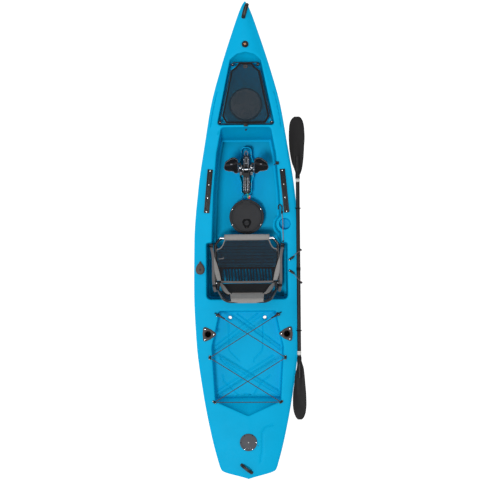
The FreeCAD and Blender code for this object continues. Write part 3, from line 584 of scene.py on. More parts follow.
def deck_z(x, y):
    """Height of the deck's outer face."""
    half = half_at(y)
    edge = np.maximum(half - rim_at(y), 1e-6)
    u = np.clip(np.abs(x) / edge, 0, 1)
    return sheer_at(y) + 12 + crown_at(y) * (1 - u ** 2.4)


def deck_height(x, y):
    return float(deck_z(x, y))


# ---------------------------------------------------------------- hull and deck moulding
def along_hull():
    """Where the sections stand: close together round the tips, about 25 mm apart elsewhere."""
    middle = list(np.linspace(STERN + 70, BOW - 50, 138))
    stern = [STERN + TAIL * (1 - math.cos(math.pi / 2 * k / 4))
             for k in range(5)] + list(np.linspace(STERN + 8, STERN + 62, 10))
    bow = list(np.linspace(BOW - 44, BOW - NOSE, 5)) + [BOW - NOSE * (1 - math.sin(math.pi / 2 * k / 6))
                                                        for k in range(1, 7)]
    return sorted(stern + middle + bow)


SECTIONS = along_hull()
SIDE_STEPS = 22


def side_line(y):
    """The starboard side at y from the keel's middle to below the gunwale."""
    half, keel, sheer = float(half_at(y)), float(keel_at(y)), float(sheer_at(y))
    top = sheer - 8
    depth = top - keel
    flat = min(22.0, 0.3 * half)
    share = [(0.32, 0.03), (0.72, 0.16), (0.90, 0.42), (0.97, 0.75), (1.0, 1.0)]
    px = [0, flat * 0.6] + [max(flat, half * s) for s, _ in share]
    pz = [keel, keel] + [keel + depth * t for _, t in share]
    t = np.linspace(0, len(px) - 1, SIDE_STEPS)
    fx, fz = monotone(range(len(px)), px), monotone(range(len(pz)), pz)
    return [(float(fx(k)), y, float(fz(k))) for k in t]


def hull_shape():
    loops = []
    for y in SECTIONS:
        right = side_line(y)
        loops.append([(-x, yy, z) for x, yy, z in right[::-1]] + right[1:])
    return stack(loops, closed_ring=False, caps=False)


GUNWALE_STEPS = 7


def gunwale_loops():
    """Rings round the whole boat, from below the gunwale up to the deck's edge."""
    rings = []
    for k in range(GUNWALE_STEPS + 1):
        a = math.pi / 2 * k / GUNWALE_STEPS
        def point(y, side):
            half, rim, top = float(half_at(y)), float(rim_at(y)), float(sheer_at(y)) + 12
            return (side * (half - rim + rim * math.cos(a)), y, top - 20 + 20 * math.sin(a))
        rings.append([point(y, 1) for y in SECTIONS] + [point(y, -1) for y in SECTIONS[::-1]])
    return rings


def resample(loop, step):
    """The closed loop with points no further apart than step."""
    out = []
    for a, b in zip(loop, loop[1:] + loop[:1]):
        a, b = np.array(a, float), np.array(b, float)
        n = max(1, int(math.ceil(np.linalg.norm(b - a) / step)))
        out += [tuple(a + (b - a) * k / n) for k in range(n)]
    return out


def inside(points, loop):
    """Which plan points lie inside the loop."""
    p, q = np.asarray(points, float), np.asarray([c[:2] for c in loop], float)
    r = np.roll(q, -1, 0)
    crossing = np.zeros(len(p), bool)
    for (x1, y1), (x2, y2) in zip(q, r):
        if y1 == y2:
            continue
        between = (p[:, 1] >= min(y1, y2)) & (p[:, 1] < max(y1, y2))
        x = x1 + (p[:, 1] - y1) * (x2 - x1) / (y2 - y1)
        crossing ^= between & (p[:, 0] < x)
    return crossing


def fill(outer, holes, spacing, height, lines=()):
    """A surface over a plan area with holes: height(x, y) sets its z, and it keeps the plan lines as edges."""
    coords, edges = [], []
    for loop in [outer] + list(holes):
        base = len(coords)
        coords += [tuple(map(float, c[:2])) for c in loop]
        edges += [(base + k, base + (k + 1) % len(loop)) for k in range(len(loop))]
    for line in lines:
        base = len(coords)
        coords += [tuple(map(float, c[:2])) for c in line]
        edges += [(base + k, base + k + 1) for k in range(len(line) - 1)]
    fixed = np.array(coords)
    lo, hi = fixed.min(0), fixed.max(0)
    grid = []
    rows = np.arange(lo[1] + spacing / 2, hi[1], spacing * 0.866)
    for i, y in enumerate(rows):
        for x in np.arange(lo[0] + (spacing / 2 if i % 2 else 0), hi[0], spacing):
            grid.append((x, y))
    grid = np.array(grid).reshape(-1, 2)
    keep = inside(grid, outer)
    for hole in holes:
        keep &= ~inside(grid, hole)
    grid = grid[keep]
    near = np.full(len(grid), 1e9)
    for start in range(0, len(fixed), 400):
        chunk = fixed[start:start + 400]
        near = np.minimum(near, np.sqrt(((grid[:, None, :] - chunk[None]) ** 2).sum(2)).min(1))
    grid = grid[near > 0.5 * spacing]
    every = [Vector(c) for c in coords] + [Vector(c) for c in grid.tolist()]
    verts, _, faces, *_ = delaunay_2d_cdt(every, edges, [], 0, 1e-4)
    flat = np.array([tuple(v) for v in verts])
    middle = np.array([flat[list(f)].mean(0) for f in faces])
    keep = inside(middle, outer)
    for hole in holes:
        keep &= ~inside(middle, hole)
    z = np.asarray(height(flat[:, 0], flat[:, 1]), float) + np.zeros(len(flat))
    return [(x, y, zz) for (x, y), zz in zip(flat.tolist(), z.tolist())], [list(f) for f, k in zip(faces, keep)
                                                                           if k]


def ridge(x, y, line, half_width, rise):
    """Height of a rounded rib (or groove) that follows a plan polyline."""
    best = np.full(np.shape(x), 1e9)
    for (x1, y1), (x2, y2) in zip(line, line[1:]):
        dx, dy = x2 - x1, y2 - y1
        t = np.clip(((x - x1) * dx + (y - y1) * dy) / (dx * dx + dy * dy), 0, 1)
        best = np.minimum(best, np.hypot(x - x1 - t * dx, y - y1 - t * dy))
    return rise * np.clip(1 - (best / half_width) ** 2, 0, 1)


def ease(t):
    t = np.clip(t, 0, 1)
    return t * t * (3 - 2 * t)


def both(points):
    """Closes a starboard outline with its port half."""
    return points + [(-x, y) for x, y in points[::-1] if abs(x) > 0.01]


def circle(x, y, r, sides=48):
    return [(x + r * math.cos(2 * math.pi * k / sides), y + r * math.sin(2 * math.pi * k / sides))
            for k in range(sides)]


def sink(top_loop, floor_line, floor_z, lip, fillet, draft):
    """A well's lip, wall and bottom curve. Returns its shape, the loop cut in the deck and the floor's loop."""
    top_loop = anticlockwise(top_loop)
    bottom = np.array([floor_line(x, y) for x, y in top_loop])
    rings = []
    outer = offset(top_loop, lip)
    rings.append([(x, y, deck_height(x, y)) for x, y in outer])
    for k in range(1, 5):
        a = math.pi / 2 * k / 4
        ring_xy = offset(top_loop, lip * (1 - math.sin(a)))
        rings.append([(x, y, deck_height(*o) - lip * (1 - math.cos(a))) for (x, y), o in zip(ring_xy, outer)])
    start = [r[2] for r in rings[-1]]
    top_xy = np.array([r[:2] for r in rings[-1]])
    foot = offset(bottom, -draft)
    for s in (0.12, 0.3, 0.5, 0.7, 0.88, 1.0):
        ring_xy = top_xy + (foot - top_xy) * ease(s * 0.92 + 0.04) if s < 1 else foot
        rings.append([(x, y, z0 + (floor_z + fillet - z0) * s) for (x, y), z0 in zip(ring_xy, start)])
    for k in range(1, 6):
        a = math.pi / 2 * k / 5
        ring_xy = offset(bottom, -draft - fillet * (1 - math.cos(a)))
        rings.append([(x, y, floor_z + fillet * (1 - math.sin(a))) for x, y in ring_xy])
    return stack(rings, caps=False), [tuple(p) for p in outer], [tuple(r[:2]) for r in rings[-1]]


FRONT_WELL = resample(rounded(both([(0, 1440), (66, 1425), (118, 1384), (222, 885)]), 26, 6), 14)
CUP_X, CUP_Y, CUP_R, CUP_DEPTH = 294.0, 123.0, 44.0, 62.0
BULGE = 66.0               # radius of the wall that bulges round the cup


def cockpit_outline():
    """Footwell and seat recess in one, with the starboard wall bulging in round the cup."""
    turn = math.acos(-31 / BULGE)
    bulge = [(CUP_X + BULGE * math.cos(a), CUP_Y + BULGE * math.sin(a))
             for a in np.linspace(turn, 2 * math.pi - turn, 15)]
    starboard = [(190, 868), (228, 670), (254, 382)] + bulge + [(271, -18), (314, -20), (314, -457)]
    port = [(-314, -457), (-314, -20), (-271, -18), (-254, 382), (-228, 670), (-190, 868)]
    radii = [30, 200, 400] + [18] + [8] * 13 + [18] + [16, 20, 40] + [40, 20, 16, 400, 200, 30]
    return resample(rounded(starboard + port, radii, 6), 14)


COCKPIT = cockpit_outline()
REAR_WELL = resample(rounded(both([(223, -546), (225, -592), (277, -824), (252, -1238), (0, -1349)]), 30, 6), 14)
CUP_LOOP = circle(CUP_X, CUP_Y, CUP_R, 40)
RUDDER_Y = -1550.0
RECESS = circle(0, RUDDER_Y, 54, 44)
DRIVE_SLOT = resample(rounded(both([(20, 736), (36.5, 722), (38.5, 660), (52.5, 628), (52.5, 508),
                                    (38.5, 470), (36.5, 385), (20, 371)]), 9, 4), 10)
ROD_X, ROD_Y, ROD_BORE = 304.0, -723.0, 22.5
SCUPPER_X, SCUPPER_Y = 136.0, -601.0
HATCH_Y, HATCH_R, BOW_HATCH_Y, BOW_HATCH_R = 190.0, 136.5, 1059.0, 130.0
STEER = (-361.0, -226.0)

# ribs and grooves moulded in the rear well's floor, the deck beside it and the footwell
GROOVE = 7                 # half width of the rear well's grooves
WELL_LINES = [
    [(-146, -640), (-146, -850), (-64, -934)], [(121, -640), (121, -835), (112, -862), (56, -916), (47, -943)],
    [(-213, -885), (-206, -926), (-165, -966), (-64, -1040)], [(-196, -1040), (-188, -1090), (-64, -1208)],
    [(176, -1050), (120, -1090), (50, -1190)], [(-40, -1215), (-20, -1190), (60, -1215)]]
WELL_BANDS = [[(-118, -556), (262, -838)], [(118, -556), (-262, -838)],
              [(-206, -905), (236, -1180)], [(206, -905), (-236, -1180)]]
for (ax, ay), (bx, by) in WELL_BANDS:      # each pressed band shows as a groove along both its edges
    run_length = math.hypot(bx - ax, by - ay)
    nx, ny = (ay - by) / run_length, (bx - ax) / run_length
    WELL_LINES += [[(ax + k * nx, ay + k * ny), (bx + k * nx, by + k * ny)] for k in (-14, 14)]
DECK_LINES = [[(190, -1418), (138, -1430), (108, -1474), (106, -1600), (92, -1700)]]


def deck_surface(x, y):
    z = deck_z(x, y)
    for line in DECK_LINES:
        z = z + ridge(x, y, line, 5, -4)
    z = z + ridge(x, y, [(0, -1380), (0, -1500)], 24, 2.0)
    for side in (-1, 1):
        z = z + ridge(x, y, [(side * 150, 1500), (side * 214, 1250), (side * 268, 880)], 11, -2.5)
    return z


def rear_floor(x, y):
    z = np.full(np.shape(x), REAR_FLOOR)
    for line in WELL_LINES:
        z = z + ridge(x, y, line, 5.5, -5)
    for side in (-1, 1):
        near = np.hypot(x - side * SCUPPER_X, y - SCUPPER_Y)
        z = z - 4 * ease(1 - (near - SCUPPER_BORE) / 14)
    return z


def footwell_floor(x, y):
    z = np.full(np.shape(x), COCKPIT_FLOOR)
    # Each of these two lines repeats its last point, so ridge divides nought by nought: every height here comes out
    # undefined and the footwell's floor isn't made. Without the repeated points it is.
    z = z + ridge(x, y, [(-112, 430), (-62, 418), (-62, 418)], 26, -9)
    z = z + ridge(x, y, [(112, 430), (62, 418), (62, 418)], 26, -9)
    z = z + ridge(x, y, [(0, 742), (0, 800)], 38, 3.5)
    for side in (-1, 1):
        z = z + ridge(x, y, [(side * 66, 700), (side * 120, 826)], 9, 3.0)
        z = z + 4.8 * ease((np.abs(x) - (168 - 0.02 * (y - 400))) / 34) * ease((y + 10) / 60)
    return z


def front_floor(x, y):
    z = np.full(np.shape(x), FRONT_FLOOR)
    return z + ridge(x, y, circle(0, BOW_HATCH_Y, BOW_HATCH_R + 10, 40) + [(BOW_HATCH_R + 10, BOW_HATCH_Y)], 6, 3)


def parallels(line, half_width):
    """Plan lines beside and along a rib, so that the surface has edges where it rises."""
    out = []
    p = np.array(line, float)
    d = np.gradient(p, axis=0)
    d /= np.linalg.norm(d, axis=1)[:, None]
    n = np.stack([-d[:, 1], d[:, 0]], 1)
    for share in (-1, -0.5, 0, 0.5, 1):
        q = p + n * half_width * share
        fine = []
        for a, b in zip(q, q[1:]):
            steps = max(1, int(np.linalg.norm(b - a) / 12))
            fine += [tuple(a + (b - a) * k / steps) for k in range(steps)]
        out.append(fine + [tuple(q[-1])])
    return out


def clear_runs(line, loop):
    """The stretches of a plan line that lie inside the loop and clear of the scuppers."""
    clear = inside(np.array(line, float), loop)
    clear &= np.array([min(math.dist(p, (s * SCUPPER_X, SCUPPER_Y)) for s in (-1, 1)) > 20 for p in line])
    runs = [[]]
    for point, ok in zip(line, clear):
        if ok:
            runs[-1].append(point)
        else:
            runs.append([])
    return [run for run in runs if len(run) > 1]


def make_hull():
    rings = gunwale_loops()
    deck = Build()
    deck.add(stack(rings, caps=False), hull_mat)
    front, front_hole, front_floor_loop = sink(
        FRONT_WELL, lambda x, y: (x * (1 if y < 1340 else 0.96), min(y, 1368 - 0.04 * abs(x))), FRONT_FLOOR, 8, 14,
        5)
    cockpit, cockpit_hole, cockpit_floor_loop = sink(
        COCKPIT, lambda x, y: (x, min(y, 806)), COCKPIT_FLOOR, 10, 18, 6)
    rear, rear_hole, rear_floor_loop = sink(
        REAR_WELL, lambda x, y: (x, max(y, -1222)), REAR_FLOOR, 9, 16, 5)
    cup, cup_hole, cup_floor_loop = sink(CUP_LOOP, lambda x, y: (x, y), deck_height(CUP_X, CUP_Y) - CUP_DEPTH, 5, 9,
                                         1.5)
    recess, recess_hole, recess_floor_loop = sink(RECESS, lambda x, y: (x, y), deck_height(0, RUDDER_Y) - 48, 4, 6,
                                                  0.5)
    for shape in (front, cockpit, rear, cup, recess):
        deck.add(shape, hull_mat)
    edge = [p[:2] for p in rings[-1]]
    outer = [p for i, p in enumerate(edge) if i == 0 or math.dist(p, edge[i - 1]) > 0.4]
    rods = [circle(s * ROD_X, ROD_Y, ROD_BORE + 3, 36) for s in (-1, 1)]
    holes = [front_hole, cockpit_hole, rear_hole, cup_hole, recess_hole] + rods + [
        circle(STEER[0], STEER[1], 8, 20), circle(0, 1498, 19, 32)]
    lines = [q for line in DECK_LINES for q in parallels(line, 6)]
    deck.add(fill(outer, holes, 19, deck_surface, lines), hull_mat)
    deck.add(fill(cockpit_floor_loop, [DRIVE_SLOT, circle(0, HATCH_Y, 116.5, 64)], 17, footwell_floor), hull_mat)
    deck.add(fill(front_floor_loop, [circle(0, BOW_HATCH_Y, 110, 64)], 17, front_floor), hull_mat)
    scuppers = [circle(s * SCUPPER_X, SCUPPER_Y, SCUPPER_BORE, 32) for s in (-1, 1)]
    grooves = [run for line in WELL_LINES for edge in parallels(line, GROOVE)
               for run in clear_runs(edge, rear_floor_loop)]
    deck.add(fill(rear_floor_loop, scuppers, 8, rear_floor, grooves), hull_mat)
    deck.add(fill(cup_floor_loop, [], 14, lambda x, y: deck_height(CUP_X, CUP_Y) - CUP_DEPTH + 0 * x), hull_mat)
    deck.add(fill(recess_floor_loop, [circle(0, RUDDER_Y, RUDDER_BORE, 24)], 16, lambda x,
                  y: deck_height(0, RUDDER_Y) - 48 + 0 * x), hull_mat)
    top = deck.make("deck_moulding", "hull", "moulded_hull", ["deck_shell"], angle=60, merge=0.05)
    thicken(top, MOULDING_WALL, up=True)


def give_wall(piece, thickness, side):
    """Turns a surface into a wall. side is -1 for inwards and 0 for both ways."""
    wall = piece.modifiers.new("wall", "SOLIDIFY")
    wall.thickness, wall.offset = thickness * MM, side
    apply_modifiers(piece)


def thicken(piece, by, up=False):
    """Gives an open surface a wall, inwards."""
    mesh = piece.data
    normals = sum((p.normal.z * p.area for p in mesh.polygons), 0.0)
    if (normals < 0) == up:
        mesh.flip_normals()
    give_wall(piece, by, -1)


def apply_modifiers(piece):
    bpy.context.view_layer.update()
    made = bpy.data.meshes.new_from_object(piece.evaluated_get(bpy.context.evaluated_depsgraph_get()))
    piece.modifiers.clear()
    piece.data = made


def cut(piece, shapes):
    """Cuts closed shapes out of a closed piece."""
    tool = Build()
    for shape in shapes:
        tool.add(shape, hull_mat)
    mesh = bpy.data.meshes.new("cutter")
    mesh.from_pydata([(x * MM, y * MM, z * MM) for x, y, z in tool.verts], [], tool.faces)
    bm = bmesh.new()
    bm.from_mesh(mesh)
    bmesh.ops.recalc_face_normals(bm, faces=bm.faces)
    bm.to_mesh(mesh)
    bm.free()
    cutter = bpy.data.objects.new("cutter", mesh)
    bpy.context.scene.collection.objects.link(cutter)
    saw = piece.modifiers.new("cut", "BOOLEAN")
    saw.object = cutter
    saw.operation = "DIFFERENCE"
    saw.solver = "EXACT"
    apply_modifiers(piece)
    bpy.data.objects.remove(cutter)


def make_bottom():
    hull = Build()
    hull.add(hull_shape(), hull_mat)
    bottom = hull.make("hull_bottom", "hull", "moulded_hull", ["hull_shell"], angle=60, merge=0.05)
    thicken(bottom, MOULDING_WALL, up=False)
    cutters = [prism(offset(anticlockwise(DRIVE_SLOT), 5), -30, 60)]
    cutters += [prism(circle(s * SCUPPER_X, SCUPPER_Y, SCUPPER_BORE, 32), -30, 90) for s in (-1, 1)]
    cutters.append(prism(circle(0, RUDDER_Y, RUDDER_BORE, 24), -30, 150))
    cut(bottom, cutters)
    bottom.data.shade_smooth()
    bottom.data.set_sharp_from_angle(angle=math.radians(40))


make_hull()
make_bottom()

floor_data = bpy.data.meshes.new("floor")
floor_data.from_pydata([(x, y, FLOOR_Z) for x, y in tape(FLOOR_HALF, FLOOR_HALF)], [], [(0, 1, 2, 3)])
floor_nodes = Nodes("floor", 0.9, specular=0.1)
floor_nodes.bsdf.inputs["Base Color"].default_value = (0.05, 0.05, 0.05, 1)
floor_nodes.bsdf.inputs["Emission Color"].default_value = (1, 1, 1, 1)
floor_nodes.bsdf.inputs["Emission Strength"].default_value = FLOOR_LIGHT
floor_data.materials.append(floor_nodes.mat)
floor = bpy.data.objects.new("floor", floor_data)
bpy.context.scene.collection.objects.link(floor)

# ---------------------------------------------------------------- small fittings used in many places
def screw_shape(radius=4.6, height=2.6):
    """A pan-head screw with a sunk socket."""
    return lathe([(0.0, -2), (radius, -2), (radius, 0.6), (radius * 0.82, height * 0.9), (radius * 0.5, height),
                  (radius * 0.42, height), (radius * 0.36, height - 1.2), (0.0, height - 1.2)], 16)


def at(x, y, z, turn=0.0):
    return turned("Z", turn, (x, y, z))


def make_hatches():
    ring = Build()
    for y, floor_z, r in ((HATCH_Y, COCKPIT_FLOOR, HATCH_R), (BOW_HATCH_Y, FRONT_FLOOR, BOW_HATCH_R)):
        ring.add(lathe([(106, -24), (109.5, -24), (109.5, 0.3), (r, 0.3), (r, 3.6), (r - 1.2, 5.6), (r - 4, 6.8),
                        (122, 8), (119.5, 8),
                        (118.8, 5.4), (115.2, 5.4), (114.4, 8), (107.5, 8), (106, 6)], 96, closed=True), hatch_mat,
                        at(0, y, floor_z))
    for x in (-40, 30):
        ring.add(block((x, 120, 6), (x + 10, 134, 17), 2), hatch_mat, at(0, HATCH_Y, COCKPIT_FLOOR))
    for k in range(4):
        a = math.radians(28.6 + 180 * (k // 2)) * (1 if k % 2 else -1)
        for y, z in ((HATCH_Y, COCKPIT_FLOOR + 7.5), (BOW_HATCH_Y, FRONT_FLOOR + 7.5)):
            ring.add(screw_shape(), steel_mat, at(127.5 * math.cos(a) * (1 if y == HATCH_Y else 0.975), y
                                                  + 127.5 * math.sin(a), z))
    ring.make("hatch_rings_detailed", "hull", "hatch_plastic", ["hatch_rings", "deck_screws"])

    top = COCKPIT_FLOOR + 8
    lid = Build()
    lid.add(lathe([(0, -12), (100, -12), (100, 2.5), (118, 3.3), (118, 6.6), (116, 8.8), (112.5, 9.8), (109.5, 9.9),
                   (108.4, 9.0),
                   (105, 9.0), (103.8, 10.1), (60, 10.6), (25, 10.8), (0, 10.8)], 96), hatch_mat,
                   at(0, HATCH_Y, top))
    lid.add(lathe([(0.5, -29), (4.1, -29), (4.1, 29), (0.5, 29)], 20), hatch_mat,
            turned("Y", 90, (0, HATCH_Y + 128, top + 4.5)))
    lid.add(block((-29, 108, 5), (29, 127, 9.4), 1.5), hatch_mat, at(0, HATCH_Y, top))
    lid.add(slab(rounded([(-52, 88), (52, 88), (44, 98), (-44, 98)], 4, 3), 9.6, 11.4, 0.8), hatch_mat,
            at(0, HATCH_Y, top))
    lid.make("centre_lid_detailed", "centre_lid", "hatch_plastic", ["centre_hatch_lid"])

    latch = Build()
    shield = rounded([(-24, -18), (24, -18), (37, -42), (12, -90), (-12, -90), (-37, -42)], 9, 5)
    latch.add(slab(shield, 10.9, 14.6, 1.2), rubber_mat, at(0, HATCH_Y, top))
    latch.add(lathe([(0, -20), (6.6, -20), (6.6, 12), (21, 13.4), (21.5, 16), (20.4, 20), (18.0, 21.8),
                     (16.2, 21.0), (13, 20.4), (0, 20.2)], 40), hatch_mat, at(0, HATCH_Y - 50, top))
    latch.add(lathe([(22.5, 14), (22.5, 17.4), (25, 18.6), (29.5, 18), (31, 15.6), (31, 14)], 44, closed=True),
              rubber_mat, at(0, HATCH_Y - 50, top))
    latch.add(block((-15, -3.2, 19), (15, 3.2, 23.6), 1.6), black_mat, at(0, HATCH_Y - 50, top, 12))
    latch.add(block((-7, -26, -20), (7, 6, -14), 1.5), hatch_mat, at(0, HATCH_Y - 50, top))
    latch.add(slab([(-6, -84), (6, -84), (0, -73)], 14.4, 15.4, 0.4, 1), holder_mat, at(0, HATCH_Y, top))
    latch.make("centre_latch_detailed", "centre_latch", "hatch_plastic", ["centre_hatch_latch"])

    bow = Build()
    bow.add(lathe([(0, -4), (101, -4), (101, 10.5), (116, 11.3), (116, 15.5), (113, 18.0), (109, 18.3), (106, 16.4),
                   (70, 16.0), (66, 17.2), (0, 17.4)], 80), grey_lid_mat, at(0, BOW_HATCH_Y, FRONT_FLOOR))
    for k in range(6):
        bow.add(block((-4, 30, 16), (4, 100, 20.5), 2), grey_lid_mat, at(0, BOW_HATCH_Y, FRONT_FLOOR, 60 * k + 30))
    bow.add(block((-70, -7, 17), (70, 7, 26), 3, 6), grey_lid_mat, at(0, BOW_HATCH_Y, FRONT_FLOOR))
    bow.make("front_lid_detailed", "front_lid", "hatch_plastic", ["front_hatch_lid"])


def make_tracks():
    fore, aft, width = Vector((277, 546, 0)), Vector((309, 210, 0)), 41.0
    run = (fore - aft).length
    z0, z1 = deck_height(aft.x, aft.y) + 1.5, deck_height(fore.x, fore.y) + 1.5
    tilt = Matrix.Rotation(-math.atan2(z1 - z0, run), 4, "Y")
    place = moved(aft.x, aft.y, z0) @ Matrix.Rotation(math.atan2(fore.y - aft.y, fore.x - aft.x), 4, "Z") @ tilt
    for name, flip in (("starboard", None), ("port", mirror_x())):
        t = Build()
        where = place if flip is None else flip @ place
        t.add(slab(rounded([(0, -width / 2), (run, -width / 2), (run, width / 2), (0, width / 2)], 7, 4), 0, 2.6,
                   0.8), black_mat, where)
        for s in (-1, 1):
            t.add(block((1, s * 17.5 - 3, 1), (run - 1, s * 17.5 + 3, 10), 1.2), black_mat, where)
            t.add(block((2, min(s * 17.5, s * 11.5), 8.4), (run - 2, max(s * 17.5, s * 11.5), 10.9), 0.9),
                  black_mat, where)
        bays = 11
        for i in range(bays):
            x0, x1 = 8 + i * (run - 16) / bays, 8 + (i + 1) * (run - 16) / bays
            a, b = ((x0, -15), (x1, 15)) if i % 2 else ((x0, 15), (x1, -15))
            t.add(sweep([(a[0], a[1], 5.4), (b[0], b[1], 5.4)],
                        [(-2.4, -2.6), (2.4, -2.6), (2.4, 2.2), (1.4, 3), (-1.4, 3), (-2.4, 2.2)]), black_mat,
                        where)
            t.add(lathe([(0, 2), (3.6, 2), (3.6, 5.6), (2.6, 6.6), (0, 6.6)], 12), black_mat, where
                  @ moved(x0, 0, 0))
        for share in (0.03, 0.35, 0.65, 0.97):
            t.add(screw_shape(5.2, 3), steel_mat, where @ moved(run * share, 0, 5.5))
        t.make("track_" + name, "hull", "black_plastic", ["accessory_tracks"] if flip is None else (), angle=30)


def make_rod_holders():
    for name, side in (("starboard", 1), ("port", -1)):
        x0, z = side * ROD_X, deck_height(ROD_X, ROD_Y) + 0.6
        t = Build()
        corners = [(72 * math.cos(math.radians(180 + 120 * k)), 72 * math.sin(math.radians(180 + 120 * k)))
                   for k in range(3)]
        bow = []
        for k in range(3):          # the sides of the flange bow outwards a little
            a, b = np.array(corners[k]), np.array(corners[(k + 1) % 3])
            mid = (a + b) / 2
            bow += [tuple(a), tuple(mid * 1.2)]
        flange = rounded(bow, 19, 8)
        outline = [(side * x, y) for x, y in flange]
        ring_points = resample(anticlockwise(outline), 6)
        loops = [[(x, y, 0) for x, y in ring_points],
                 [(x, y, 3.2) for x, y in ring_points]]
        for inset, rise in ((1.6, 5.2), (4.6, 6.4)):
            loops.append([(x, y, rise) for x, y in offset(ring_points, -inset)])
        last = loops[-1]
        for share, radius, rise in ((0.5, 33, 7.2), (1.0, 30.5, 7.4), (1.0, 27.5, 6.0), (1.0, 24.5, 2.4),
                                    (1.0, ROD_BORE, -3)):
            nxt = []
            for x, y, _ in last:
                a = math.atan2(y, x)
                cx, cy = radius * math.cos(a), radius * math.sin(a)
                nxt.append((x + (cx - x) * share, y + (cy - y) * share, rise))
            loops.append(nxt)
        angles = [math.atan2(y, x) for x, y, _ in loops[-1]]
        for radius, height in ((ROD_BORE, -190), (ROD_BORE + 3, -190), (ROD_BORE + 3, -2)):
            loops.append([(radius * math.cos(a), radius * math.sin(a), height) for a in angles])
        t.add(stack(loops, closed_stack=True), holder_mat, at(x0, ROD_Y, z))
        t.add(lathe([(0, -189), (ROD_BORE + 2, -189), (ROD_BORE + 2, -184), (0, -184)], 32), black_mat,
              at(x0, ROD_Y, z))
        for x, y in corners:
            d = math.hypot(x, y)
            t.add(screw_shape(5, 3), steel_mat, at(x0 + side * x * (d - 27) / d, ROD_Y + y * (d - 27) / d, z + 6.6))
        t.make("rod_holder_" + name, "hull", "black_plastic", ["rod_holders"] if side > 0 else (), angle=35)


BUNGEE_EYES = [(-228, -575), (290, -905), (-259, -1243), (254, -1245), (-292, -902), (237, -572)]
EYE_RISE = 15.0


def eye_shape():
    """A pad eye: an oval foot and an arch for the cord. Its two screws are added where it is placed."""
    foot = slab(rounded(oval(17, 10, 28, 2.4), 0.5, 1), -1.5, 3.4, 1.6)
    arch = sweep(smooth_line([(-8, 0, 2), (-7, 0, 9), (0, 0, 13.5), (7, 0, 9), (8, 0, 2)], 6), 3.3)
    return foot, arch


def make_anchors():
    t = Build()
    for x, y in BUNGEE_EYES:
        foot, arch = eye_shape()
        z = deck_height(x, y) + 1.5
        turn = math.degrees(math.atan2(y + 900, x))
        t.add(foot, black_mat, at(x, y, z, turn + 90)).add(arch, black_mat, at(x, y, z, turn + 90))
        for s in (-1, 1):
            t.add(screw_shape(2.6, 1.6), steel_mat, at(x, y, z + 2.6, turn + 90) @ moved(s * 12.6, 0, 0))
    for x, y, turn in ((-228, -575, -30), (237, -572, 210)):
        z = deck_height(x, y) + EYE_RISE + 3
        where = at(x, y, z, turn)
        t.add(slab(rounded([(-10, -8), (8, -10), (40, -6), (50, -3), (50, 3), (40, 6), (8, 10), (-10, 8)], 5, 4),
                   -6, 5, 3.6), black_mat, where)
        t.add(sweep(smooth_line([(-6, 0, 2), (-20, 0, 3), (-27, 0, -4), (-22, 0, -11), (-13, 0, -10)], 6), 3.4),
              black_mat, where)
        t.add(lathe([(0, -8), (5.2, -8), (6, -5), (6, 5), (5, 8), (0, 8)], 18), black_mat, where
              @ turned("Y", 90, (54, 0, -0.5)))
    for x, y in ((98, 1350), (200, 908)):
        for s in (-1, 1):
            z = cover_z(y)
            turn = 90 - s * (60 if y > 1000 else -60)
            where = at(s * x, y, z, turn)
            t.add(lathe([(0, -26), (8, -26), (7, -8), (6, 2), (6, 7), (8.2, 9), (8.2, 11), (6.6, 12), (0, 12)], 20),
                  black_mat, where)
            t.add(screw_shape(3.2, 2), steel_mat, where @ moved(0, 0, 11.6))
            t.add(sweep(smooth_line([(-12, -9, 1), (-14, 2, 3), (-5, 11, 4), (8, 9, 4), (13, -2, 3)], 6), 2.6),
                  black_mat, where)
    t.make("eyes_and_hooks", "hull", "black_plastic", ["bungee_anchors"])


